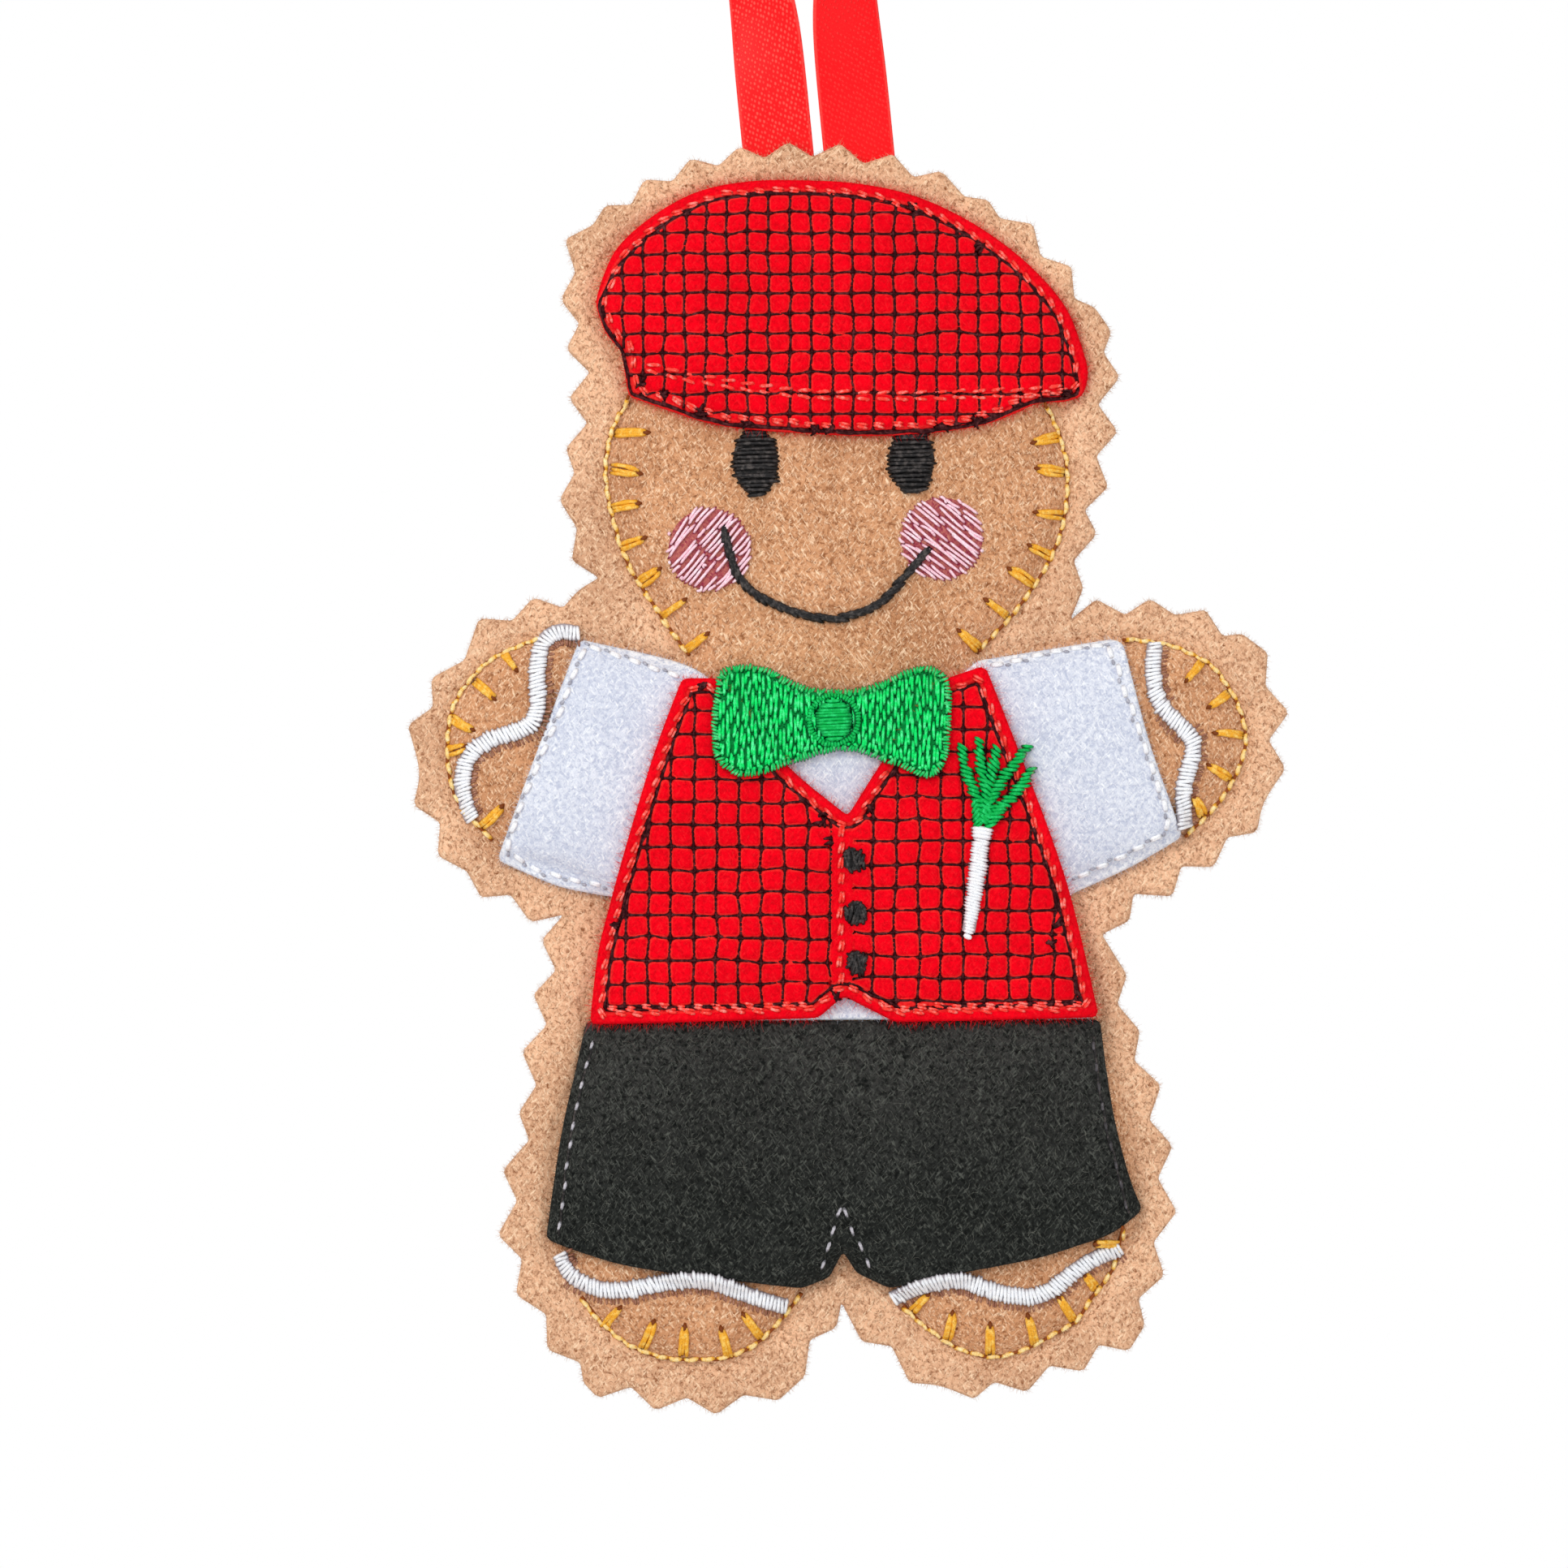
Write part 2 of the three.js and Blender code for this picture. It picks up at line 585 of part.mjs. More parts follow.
function frontPanel() {
  return prism(PANEL_OUTLINE).intersect(frontBlock(PANEL_INSIDE, PANEL_FACE));
}

function backPanel() {
  const sheet = quiltBlock(backSurface(PANEL_FACE), backSurface(PANEL_INSIDE));
  return prism(PANEL_OUTLINE).intersect(sheet);
}

function stabiliser() {
  return prism(smoothOutline(STUFFING_PX)).intersect(frontBlock(STABILISER_BOTTOM, STABILISER_TOP));
}

function stuffing() {
  const top = frontSurface(STABILISER_BOTTOM - LAY_GAP);
  const bottom = backSurface(PANEL_INSIDE - LAY_GAP);
  return prism(smoothOutline(STUFFING_PX)).intersect(quiltBlock(bottom, top));
}

function ring(outline, inset, width) {
  const outer = prism(grown(outline, width / 2 - inset));
  const inner = prism(grown(outline, -width / 2 - inset));
  return outer.subtract(inner);
}

function bobbinSeam() {
  const sheet = quiltBlock(
    backSurface(PANEL_FACE + LAY_GAP + THREAD_THICKNESS),
    backSurface(PANEL_FACE + LAY_GAP),
  );
  return ring(SEAM_OUTLINE, 0, BOBBIN_WIDTH).intersect(sheet);
}

// Clothes.

function garment(outline) {
  return laid([outline], PANEL_FACE + LAY_GAP, GARMENT_FACE);
}

function vest() {
  return laid([VEST_OUTLINE], GARMENT_FACE + LAY_GAP, VEST_FACE);
}

function edgeStitching(outline, faceBelow, extraPaths = []) {
  const sheet = frontBlock(faceBelow + LAY_GAP, faceBelow + LAY_GAP + THREAD_THICKNESS);
  const extras = extraPaths.map((path) => prism(strip(path, STITCH_WIDTH)));
  return joined([ring(outline, EDGE_STITCH_INSET, STITCH_WIDTH), ...extras]).intersect(sheet);
}

// Where a net's lines may run: clear of the edge stitching.
function insideEdgeStitching(outline) {
  return prism(grown(outline, -EDGE_STITCH_INSET - STITCH_WIDTH / 2 - SIDE_GAP));
}

// Crossing threads over a region, of which one crossing is at the start point.
function plaidNet(region, startPx, pitch, faceBelow) {
  const start = placed(startPx);
  const reach = FIGURE_WIDTH;
  const half = PLAID_LINE_WIDTH / 2;
  const stepAcross = pitch.across * PLAID_LINE_STEP;
  const stepDown = pitch.down * PLAID_LINE_STEP;
  const count = Math.ceil(reach / Math.min(stepAcross, stepDown));
  const upright = new THREE.Vector2(half, reach);
  const level = new THREE.Vector2(reach, half);
  const bars = [];
  for (let i = -count; i <= count; i += 1) {
    const across = new THREE.Vector2(start.x + i * stepAcross, start.y);
    const down = new THREE.Vector2(start.x, start.y + i * stepDown);
    bars.push(prism(rectangle(across.clone().sub(upright), across.clone().add(upright))));
    bars.push(prism(rectangle(down.clone().sub(level), down.clone().add(level))));
  }
  const sheet = frontBlock(faceBelow + LAY_GAP, faceBelow + LAY_GAP + THREAD_THICKNESS);
  return joined(bars).intersect(region).intersect(sheet);
}

function capPlaid() {
  return plaidNet(insideEdgeStitching(CAP_OUTLINE), CAP_PLAID_START_PX, CAP_PLAID_PITCH, GARMENT_FACE);
}

function vestPlaid({ start, left, right }) {
  const half = prism(rectangle(placed([left, FIGURE_BOX_PX.bottom]), placed([right, FIGURE_BOX_PX.top])));
  const region = insideEdgeStitching(VEST_OUTLINE).intersect(half);
  return plaidNet(region, start, VEST_PLAID_PITCH, VEST_FACE);
}

function capBrimStitching() {
  const line = strip(smoothPath(CAP_BRIM_PX), BRIM_STITCH_WIDTH);
  return laid([line], GARMENT_STITCH_FACE + LAY_GAP, BRIM_STITCH_FACE);
}

function garmentStitching(path) {
  return laid([strip(path, STITCH_WIDTH)], GARMENT_FACE + LAY_GAP, GARMENT_STITCH_FACE, [VEST_COVER]);
}

// Thread work.

function outlineStitching({ line, ticks }) {
  const outlines = [
    strip(smoothPath(line), GOLD_WIDTH),
    ...ticks.map((tick) => strip(tick.map(placed), TICK_WIDTH)),
  ];
  return laid(outlines, PANEL_FACE + LAY_GAP, PANEL_STITCH_FACE, GARMENT_COVERS);
}

function icing(pathPx, stitchBelow) {
  const band = strip(smoothPath(pathPx), ICING_WIDTH);
  const stitchCover = coverOf([
    strip(smoothPath(stitchBelow.line), GOLD_WIDTH),
    ...stitchBelow.ticks.map((tick) => strip(tick.map(placed), TICK_WIDTH)),
  ], PANEL_STITCH_FACE);
  return laid([band], PANEL_FACE + LAY_GAP, ICING_FACE, [...GARMENT_COVERS, stitchCover]);
}

function eye(outlinePx) {
  return laid([smoothOutline(outlinePx)], PANEL_FACE + LAY_GAP, EYE_FACE, [CAP_COVER]);
}

function cheek(centrePx) {
  return laid([roundOutline(centrePx, CHEEK_RADII_PX)], PANEL_FACE + LAY_GAP, CHEEK_FACE);
}

function smile() {
  const line = strip(smoothPath(SMILE_PX), SMILE_WIDTH);
  const cheeks = Object.values(CHEEKS_PX).map((centre) => roundOutline(centre, CHEEK_RADII_PX));
  return laid([line], PANEL_FACE + LAY_GAP, SMILE_FACE, [coverOf(cheeks, CHEEK_FACE)]);
}

function button(centrePx) {
  return laid([roundOutline(centrePx, BUTTON_RADII_PX)], VEST_STITCH_FACE + LAY_GAP, BOW_FACE);
}

// Satin stitching that reaches over the vest onto the felt beside it.
function overVest(outlines) {
  return laid(outlines, PANEL_FACE + LAY_GAP, BOW_FACE, [SHIRT_COVER, VEST_COVER]);
}

function bowWings() {
  return overVest([smoothOutline(BOW_PX)]);
}

function bowKnot() {
  return laid([roundOutline(KNOT_PX, KNOT_RADII_PX)], BOW_FACE + LAY_GAP, KNOT_FACE);
}

function leekStem() {
  return overVest([strip(LEEK_STEM_PX.map(placed), LEEK_STEM_WIDTH)]);
}

function leekLeaves() {
  const fork = placed(LEEK_FORK_PX);
  return overVest(LEEK_TIPS_PX.map((tip) => strip([fork, placed(tip)], LEEK_LEAF_WIDTH)));
}

// The ribbon.

const FOLD_HEIGHT = FOLD_LIFT - LOOP_HEIGHT;

function strandPoint(strandPx, height) {
  const base = placed(strandPx);
  return new THREE.Vector2(base.x - (height - base.y) * RIBBON_LEAN_SHARE, height);
}

function sewnEnd(strandPx) {
  const top = strandPoint(strandPx, FOLD_HEIGHT - FOLD_GAP_BELOW);
  const bottom = strandPoint(strandPx, placed([strandPx[0], SEWN_END_DOWN_PX]).y);
  return prism(strip([bottom, top], RIBBON_WIDTH), -RIBBON_THICKNESS / 2, RIBBON_THICKNESS / 2);
}

// The points that shape one strand's middle line, from the fold up to where the round top begins.
function strandPoints(strandPx, topX, topY) {
  const bottom = FOLD_HEIGHT + FOLD_GAP_ABOVE;
  return [
    strandPoint(strandPx, bottom),
    strandPoint(strandPx, bottom + LOOP_STRAIGHT),
    strandPoint(strandPx, bottom + LOOP_STRAIGHT + LOOP_LOWER_PULL),
    new THREE.Vector2(topX, topY - LOOP_UPPER_PULL),
    new THREE.Vector2(topX, topY),
  ];
}

function loopLine() {
  const centreY = RIBBON_THICKNESS / 2 - LOOP_RADIUS;
  const [leftFold, ...left] = strandPoints(LEFT_STRAND_PX, -LOOP_RADIUS, centreY);
  const [rightFold, ...right] = strandPoints(RIGHT_STRAND_PX, LOOP_RADIUS, centreY);
  const line = new THREE.CurvePath();
  line.add(new THREE.LineCurve(leftFold, left[0]));
  line.add(new THREE.CubicBezierCurve(...left));
  line.add(new THREE.EllipseCurve(0, centreY, LOOP_RADIUS, LOOP_RADIUS, Math.PI, 0, true));
  line.add(new THREE.CubicBezierCurve(...right.toReversed()));
  line.add(new THREE.LineCurve(right[0], rightFold));
  return line;
}

// The ribbon lies flat at the fold and turns its inner edges forward as it rises.
function ribbonLoop() {
  const line = loopLine();
  const ribbon = new THREE.BoxGeometry(RIBBON_WIDTH, 1, RIBBON_THICKNESS, 1, LOOP_STEPS, 1);
  const at = ribbon.attributes.position;
  for (let i = 0; i < at.count; i += 1) {
    const share = THREE.MathUtils.clamp(at.getY(i) + 0.5, 0, 1);
    const middle = line.getPointAt(share);
    const along = line.getTangentAt(share);
    const twistTop = FOLD_HEIGHT + TWIST_HEIGHT;
    const turn = (Math.PI / 2) * THREE.MathUtils.smoothstep(middle.y, FOLD_HEIGHT, twistTop);
    const forward = new THREE.Vector3(along.x, along.y, 0);
    const across = new THREE.Vector3(along.y, -along.x, 0).applyAxisAngle(forward, -turn);
    const outward = new THREE.Vector3().crossVectors(across, forward);
    const place = new THREE.Vector3(middle.x, middle.y, 0)
      .addScaledVector(across, at.getX(i))
      .addScaledVector(outward, at.getZ(i));
    at.setXYZ(i, place.x, place.y, place.z);
  }
  return solid(ribbon);
}

// The scene.

function named(name, body, material) {
  const { vertProperties, triVerts } = body.getMesh();
  const geometry = new THREE.BufferGeometry();
  geometry.setAttribute("position", new THREE.BufferAttribute(vertProperties, 3));
  geometry.setIndex(new THREE.BufferAttribute(triVerts, 1));
  geometry.computeVertexNormals();
  const mesh = new THREE.Mesh(geometry, material);
  mesh.name = name;
  return mesh;
}

function figurePieces() {
  return [
    named("front_felt_panel", frontPanel(), TAN_FELT),
    named("back_felt_panel", backPanel(), TAN_FELT),
    named("stabiliser_sheet", stabiliser(), WHITE_FIBRE),
    named("fibre_stuffing", stuffing(), WHITE_FIBRE),
    named("seam_bobbin_thread", bobbinSeam(), TAN_THREAD),
    named("ribbon_end_left", sewnEnd(LEFT_STRAND_PX), RED_RIBBON),
    named("ribbon_end_right", sewnEnd(RIGHT_STRAND_PX), RED_RIBBON),
  ];
}

function clothesPieces() {
  const vestOpening = VEST_OPENING_PX.map(placed);
  return [
    named("cap_felt", garment(CAP_OUTLINE), RED_FELT),
    named("cap_plaid_stitching", capPlaid(), BLACK_THREAD),
    named("cap_edge_stitching", edgeStitching(CAP_OUTLINE, GARMENT_FACE), RED_THREAD),
    named("cap_brim_stitching", capBrimStitching(), RED_THREAD),
    named("shirt_felt", garment(SHIRT_OUTLINE), WHITE_FELT),
    ...Object.entries(SLEEVE_STITCH_PX).map(([side, path]) =>
      named(`sleeve_stitching_${side}`, garmentStitching(stretchedPath(path)), WHITE_THREAD)),
    named("vest_felt", vest(), RED_FELT),
    ...Object.entries(VEST_PLAID_PX).map(([side, half]) =>
      named(`vest_plaid_stitching_${side}`, vestPlaid(half), BLACK_THREAD)),
    named("vest_edge_stitching", edgeStitching(VEST_OUTLINE, VEST_FACE, [vestOpening]), RED_THREAD),
    ...Object.entries(BUTTONS_PX).map(([place, centre]) =>
      named(`vest_button_${place}`, button(centre), EYE_THREAD)),
    named("bow_tie_wings", bowWings(), GREEN_THREAD),
    named("bow_tie_knot", bowKnot(), GREEN_THREAD),
    named("leek_stem", leekStem(), WHITE_THREAD),
    named("leek_leaves", leekLeaves(), GREEN_THREAD),
    named("shorts_felt", garment(SHORTS_OUTLINE), BLACK_FELT),
    ...Object.entries(SHORTS_STITCH_PX).map(([side, path]) =>
      named(`shorts_side_stitching_${side}`, garmentStitching(smoothPath(path)), EYE_THREAD)),
    named("shorts_crotch_stitching", garmentStitching(CROTCH_STITCH_PX.map(placed)), EYE_THREAD),
  ];
}

function facePieces() {
  return [
    ...Object.entries(EYES_PX).map(([side, outline]) => named(`eye_${side}`, eye(outline), EYE_THREAD)),
    ...Object.entries(CHEEKS_PX).map(([side, centre]) => named(`cheek_${side}`, cheek(centre), PINK_THREAD)),
    named("smile_stitching", smile(), EYE_THREAD),
  ];
}

function trimPieces() {
  const outlined = { head: HEAD_STITCH_PX, hand: HAND_STITCH_PX, foot: FOOT_STITCH_PX };
  const stitches = Object.entries(outlined).flatMap(([limb, sides]) =>
    Object.entries(sides).map(([side, stitch]) =>
      named(`${limb}_outline_${side}`, outlineStitching(stitch), GOLD_THREAD)));
  const icings = Object.entries(ICING_PX).map(([limb, path]) => {
    const [side, kind] = limb.split("_");
    return named(`icing_${limb}`, icing(path, outlined[kind][side]), WHITE_THREAD);
  });
  return [...stitches, ...icings];
}

const figure = new THREE.Group();
figure.add(...figurePieces(), ...clothesPieces(), ...facePieces(), ...trimPieces());

const hanger = new THREE.Group();
hanger.add(named("ribbon_loop", ribbonLoop(), RED_RIBBON));

const ornament = new THREE.Group();
ornament.add(figure, hanger);
ornament.rotation.x = Math.PI / 2;

export default ornament;
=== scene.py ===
"""The looks of a felt gingerbread man that hangs from a ribbon loop.

Shapes are worked out on the sheet of the figure, in millimetres: u to its right, v up, and h, the
height towards the viewer. The sheet's origin is the inside top of the ribbon loop. A point (u, v, h)
of the sheet lies at (u, -h, v) in the row frame.
"""

import math
from dataclasses import dataclass, replace
from typing import NamedTuple

import bpy
import numpy as np
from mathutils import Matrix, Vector
from mathutils.geometry import delaunay_2d_cdt


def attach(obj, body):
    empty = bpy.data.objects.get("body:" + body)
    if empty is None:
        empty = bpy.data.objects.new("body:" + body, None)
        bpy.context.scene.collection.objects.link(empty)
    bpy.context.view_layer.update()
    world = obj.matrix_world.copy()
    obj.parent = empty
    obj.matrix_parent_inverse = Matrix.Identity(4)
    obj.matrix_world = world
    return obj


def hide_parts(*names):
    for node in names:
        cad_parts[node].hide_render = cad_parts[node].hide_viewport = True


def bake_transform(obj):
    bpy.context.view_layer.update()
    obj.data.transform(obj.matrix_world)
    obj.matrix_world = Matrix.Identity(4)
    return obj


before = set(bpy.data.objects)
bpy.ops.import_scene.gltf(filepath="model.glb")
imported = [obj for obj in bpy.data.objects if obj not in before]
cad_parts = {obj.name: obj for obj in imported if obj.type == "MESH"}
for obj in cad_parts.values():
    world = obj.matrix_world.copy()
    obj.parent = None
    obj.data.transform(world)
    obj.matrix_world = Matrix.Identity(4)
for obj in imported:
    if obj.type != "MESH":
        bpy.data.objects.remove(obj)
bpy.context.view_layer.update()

MM = 0.001
FIGURE, HANGER = "figure", "hanger"

# The figure on the photograph: places are in its pixels, across and down.
PIXEL = 74.5 / 1086
LOOP_TOP_ACROSS_PX = 955
HEAD_TOP_PX = 176
PHOTO_SIDE_PX = 1932
HEAD_TOP = -62.0

# Levels above the middle of the sheet, before the puff is added, as in the part's source.
PANEL_INSIDE = 0.05
PANEL_FACE = 1.5
GARMENT_FACE = 2.6
VEST_FACE = 3.7
FRONT_PUFF = 2.2
BACK_PUFF = 1.2

# Felt
OUTLINE_STEP = 0.25
CORNER = math.radians(26.0)
FACING_SHARE = 0.3  # of a normal, from which a face counts as the front's
EDGE_ROUND = 0.3
GRID_CLEAR_SHARE = 0.55  # of a sheet's spacing, by which its grid keeps off the rim
BOBBIN_HALF_WIDTH = 0.275
SEAM_STEP = 0.4
SEAM_DENT = 0.5
SEAM_DENT_REACH = 0.75
PUFF_REACH = 4.2  # in which the felt rises to two thirds of its puff
PUFF_ROUNDS = 1500
FIELD_STEP = 0.5
FIELD_MARGIN = 4.0


# Points and lines of the sheet


def placed(points_px):
    """Sheet points of places on the photograph."""
    points = np.asarray(points_px, float)
    across = (points[..., 0] - LOOP_TOP_ACROSS_PX) * PIXEL
    up = (HEAD_TOP_PX - points[..., 1]) * PIXEL + HEAD_TOP
    return np.stack([across, up], axis=-1)


def in_metres(points):
    """Sheet points (u, v, h) as places in the row frame."""
    points = np.asarray(points, float).reshape(-1, 3)
    return np.stack([points[:, 0], -points[:, 2], points[:, 1]], axis=1) * MM


def lengths(vectors):
    return np.linalg.norm(vectors, axis=-1)


def unit(vectors):
    return vectors / np.maximum(lengths(vectors), 1e-9)[..., None]


def run_of(line):
    """How far along a line each of its points is."""
    return np.concatenate([[0.0], np.cumsum(lengths(np.diff(line, axis=0)))])


def span_points(knots, shares):
    """Points of a centripetal spline between the second and the third of four knots."""
    gaps = np.maximum(lengths(np.diff(knots, axis=0)), 1e-6) ** 0.5
    at = np.concatenate([[0.0], np.cumsum(gaps)])
    t = (at[1] + (at[2] - at[1]) * shares)[:, None]
    level = list(knots)
    for reach in (1, 2):
        level = [
            ((at[i + reach] - t) * level[i] + (t - at[i]) * level[i + 1]) / (at[i + reach] - at[i])
            for i in range(4 - reach)
        ]
    return ((at[2] - t) * level[0] + (t - at[1]) * level[1]) / (at[2] - at[1])


def smooth_line(knots, closed=False, steps=12):
    """A smooth line through the knots."""
    knots = np.asarray(knots, float)
    if closed:
        wide = np.vstack([knots[-1:], knots, knots[:2]])
    elif len(knots) == 2:
        return knots[0] + (knots[1] - knots[0]) * np.linspace(0, 1, steps)[:, None]
    else:
        wide = np.vstack([2 * knots[0] - knots[1], knots, 2 * knots[-1] - knots[-2]])
    shares = np.arange(steps) / steps
    spans = [span_points(wide[i:i + 4], shares) for i in range(len(wide) - 3)]
    return np.vstack(spans if closed else [*spans, knots[-1:]])


def resampled(line, step, closed=False):
    """The same line with its points at even distances of about one step."""
    points = np.vstack([line, line[:1]]) if closed else line
    run = run_of(points)
    count = max(int(round(run[-1] / step)), 2)
    places = np.linspace(0, run[-1], count + 1)
    if closed:
        places = places[:-1]
    return np.stack([np.interp(places, run, points[:, i]) for i in range(points.shape[1])], axis=1)


def drawn(points_px, step):
    """A smooth line through places on the photograph."""
    return resampled(smooth_line(placed(points_px)), step)


def stretched_line(stretches_px, step):
    """A line of smooth stretches, each of which runs on to the next one."""
    parts = []
    for i, stretch in enumerate(stretches_px):
        following = stretches_px[i + 1][:1] if i + 1 < len(stretches_px) else []
        if len(stretch) + len(following) > 1:
            parts.append(smooth_line(placed([*stretch, *following])))
    return resampled(np.vstack(parts), step)


def along_of(line, closed=False):
    """The direction of a line at each of its points."""
    if closed:
        return unit(np.roll(line, -1, axis=0) - np.roll(line, 1, axis=0))
    return unit(np.gradient(line, axis=0))


def right_of(directions):
    return np.stack([directions[..., 1], -directions[..., 0]], axis=-1)


def out_of(outline):
    """The way out of a counter-clockwise outline at each of its points."""
    return right_of(along_of(outline, closed=True))


def heading(turn):
    """The direction that a turn in radians gives, anticlockwise from the right."""
    return np.stack([np.cos(turn), np.sin(turn)], axis=-1)


def turned(directions, degrees):
    """Directions turned clockwise."""
    turn = np.radians(degrees)
    return directions * np.cos(turn)[..., None] + right_of(directions) * np.sin(turn)[..., None]


def averaged(outline, times):
    """A closed outline with its corners rounded."""
    for _ in range(times):
        outline = (np.roll(outline, 1, axis=0) + 2 * outline + np.roll(outline, -1, axis=0)) / 4
    return outline


def inside(points, outline):
    within = np.zeros(len(points), bool)
    for start, end in zip(outline, np.roll(outline, -1, axis=0)):
        if start[1] == end[1]:
            continue
        crosses = (start[1] > points[:, 1]) != (end[1] > points[:, 1])
        across = start[0] + (points[:, 1] - start[1]) * (end[0] - start[0]) / (end[1] - start[1])
        within ^= crosses & (points[:, 0] < across)
    return within


def distance(points, outline):
    """How far each point is from a closed outline."""
    nearest = np.full(len(points), np.inf)
    for start, end in zip(outline, np.roll(outline, -1, axis=0)):
        side = end - start
        share = np.clip((points - start) @ side / max(side @ side, 1e-12), 0, 1)
        gap = points - start - share[:, None] * side
        nearest = np.minimum(nearest, (gap ** 2).sum(axis=1))
    return np.sqrt(nearest)


def depth_in(points, outline):
    """How far each point is inside a closed outline, or outside it where that is negative."""
    return distance(points, outline) * np.where(inside(points, outline), 1, -1)


def inset(outline, by, clear_share=0.985):
    """A closed outline moved inwards, without the loops that tight corners make."""
    along = along_of(outline, closed=True)
    moved = outline - right_of(along) * by
    clear = distance(moved, outline) > by * clear_share
    moved, along = moved[clear], along[clear]
    ahead = np.roll(moved, -1, axis=0) - moved
    return moved[(ahead * along).sum(axis=1) > 0]


LOW_SIDE = np.array([0.35, 1.0])  # across and up, of the way from an outline's low side to its high side
LOW_SIDE_CHANGE = 1.6  # how quickly the one distance gives way to the other
LOW_SIDE_ROUNDS = 12


def leaning_inset(outline, top, bottom, clear_share=0.95):
    """A closed outline moved inwards by one distance at its top and by another at its bottom."""
    out = out_of(outline)
    low_share = np.clip(0.5 - LOW_SIDE_CHANGE * (out @ LOW_SIDE), 0, 1)
    by = averaged(top + (bottom - top) * low_share, LOW_SIDE_ROUNDS)
    moved = outline - out * by[:, None]
    return moved[distance(moved, outline) > by * clear_share]


def front_outline(node, step=OUTLINE_STEP, rounds=3):
    """The outline of a CAD node's front, counter-clockwise and smooth between its corners."""
    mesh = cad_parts[node].data
    mesh.calc_loop_triangles()
    places = np.array([vertex.co for vertex in mesh.vertices]) / MM
    _, first, same = np.unique(np.round(places, 2), axis=0, return_index=True, return_inverse=True)
    points = places[first]
    triangles = same.reshape(-1)[np.array([t.vertices for t in mesh.loop_triangles])]
    corners = points[triangles]
    normals = unit(np.cross(corners[:, 1] - corners[:, 0], corners[:, 2] - corners[:, 0]))
    facing = triangles[normals[:, 1] < -FACING_SHARE].tolist()
    sides = {(t[i], t[(i + 1) % 3]) for t in facing for i in range(3)}
    following = {a: b for a, b in sides if (b, a) not in sides}
    loops = []
    while following:
        loop = [next(iter(following))]
        while loop[-1] in following:
            loop.append(following.pop(loop[-1]))
        loops.append(points[loop[:-1]][:, [0, 2]])
    outline = max(loops, key=lambda loop: np.ptp(loop[:, 0]) + np.ptp(loop[:, 1]))
    return smoothed(outline, step, rounds)


def turns_of(outline):
    before = outline - np.roll(outline, 1, axis=0)
    after = np.roll(outline, -1, axis=0) - outline
    cross = before[:, 0] * after[:, 1] - before[:, 1] * after[:, 0]
    return np.abs(np.arctan2(cross, (before * after).sum(axis=1)))


def smoothed(outline, step, rounds, least_turn=0.01):
    """A faceted outline made smooth between its corners, which are rounded a little."""
    outline = outline[turns_of(outline) > least_turn]
    sharp = np.flatnonzero(turns_of(outline) > CORNER)
    if len(sharp) < 2:
        return averaged(resampled(smooth_line(outline, closed=True), step, closed=True), rounds)
    outline = np.roll(outline, -sharp[0], axis=0)
    ends = [*(sharp - sharp[0]), len(outline)]
    wide = np.vstack([outline, outline[:1]])
    spans = [smooth_line(wide[a:b + 1])[:-1] for a, b in zip(ends, ends[1:])]
    return averaged(resampled(np.vstack(spans), step, closed=True), rounds)


# The stuffed form


def blended(values, i, j, a, b):
    """Values inside the cells of a grid, by the shares across and up each cell."""
    return ((1 - a) * (1 - b) * values[i, j] + a * (1 - b) * values[i + 1, j]
            + (1 - a) * b * values[i, j + 1] + a * b * values[i + 1, j + 1])


class Field:
    """Values on an even grid over the figure, read between the grid's points."""

    def __init__(self, step):
        self.low = PANEL_OUTLINE.min(axis=0) - FIELD_MARGIN
        high = PANEL_OUTLINE.max(axis=0) + FIELD_MARGIN
        self.step = step
        self.shape = tuple(int(n) for n in np.ceil((high - self.low) / step) + 1)
        steps = np.stack(np.meshgrid(*(np.arange(n) for n in self.shape), indexing="ij"), axis=-1)
        self.points = self.low + steps.reshape(-1, 2) * step
        self.values = np.zeros(self.shape)

    def at(self, points):
        place = (points - self.low) / self.step
        cell = np.clip(np.floor(place).astype(int), 0, np.array(self.shape) - 2)
        return blended(self.values, *cell.T, *np.clip(place - cell, 0, 1).T)


def puff_field():
    """How far the stuffing raises the felt, as a share: a sheet held down at the seam."""
    field = Field(FIELD_STEP)
    free = inside(field.points, SEAM_OUTLINE).reshape(field.shape)
    pull = (FIELD_STEP / PUFF_REACH) ** 2
    for _ in range(PUFF_ROUNDS):
        around = sum(np.roll(field.values, way, axis) for axis in (0, 1) for way in (1, -1))
        field.values = np.where(free, (around + pull) / (4 + pull), 0)
    return field


def dent_field():
    """How far the outline seam pulls the felt in."""
    field = Field(FIELD_STEP / 2)
    gap = distance(field.points, SEAM_OUTLINE)
    field.values = (SEAM_DENT * np.exp(-(gap / SEAM_DENT_REACH) ** 2)).reshape(field.shape)
    return field


PANEL_OUTLINE = front_outline("front_felt_panel", rounds=1)
SEAM_OUTLINE = inset(front_outline("seam_bobbin_thread", SEAM_STEP), BOBBIN_HALF_WIDTH)
PUFF = puff_field()
DENT = dent_field()


def inner_front(level):
    """The height of a layer under the front's felt, as a function of sheet points."""
    return lambda points: level + FRONT_PUFF * PUFF.at(points)


def inner_back(level):
    return lambda points: -level - BACK_PUFF * PUFF.at(points)


def front(level):
    """The height of a layer of the front, where the seam pulls it in."""
    return lambda points: level + FRONT_PUFF * PUFF.at(points) - DENT.at(points)


def back(level):
    return lambda points: -level - BACK_PUFF * PUFF.at(points) + DENT.at(points)


# Pieces


class Finish(NamedTuple):
    """A material, and the slot of the record that it shows."""

    material: bpy.types.Material
    slot: str


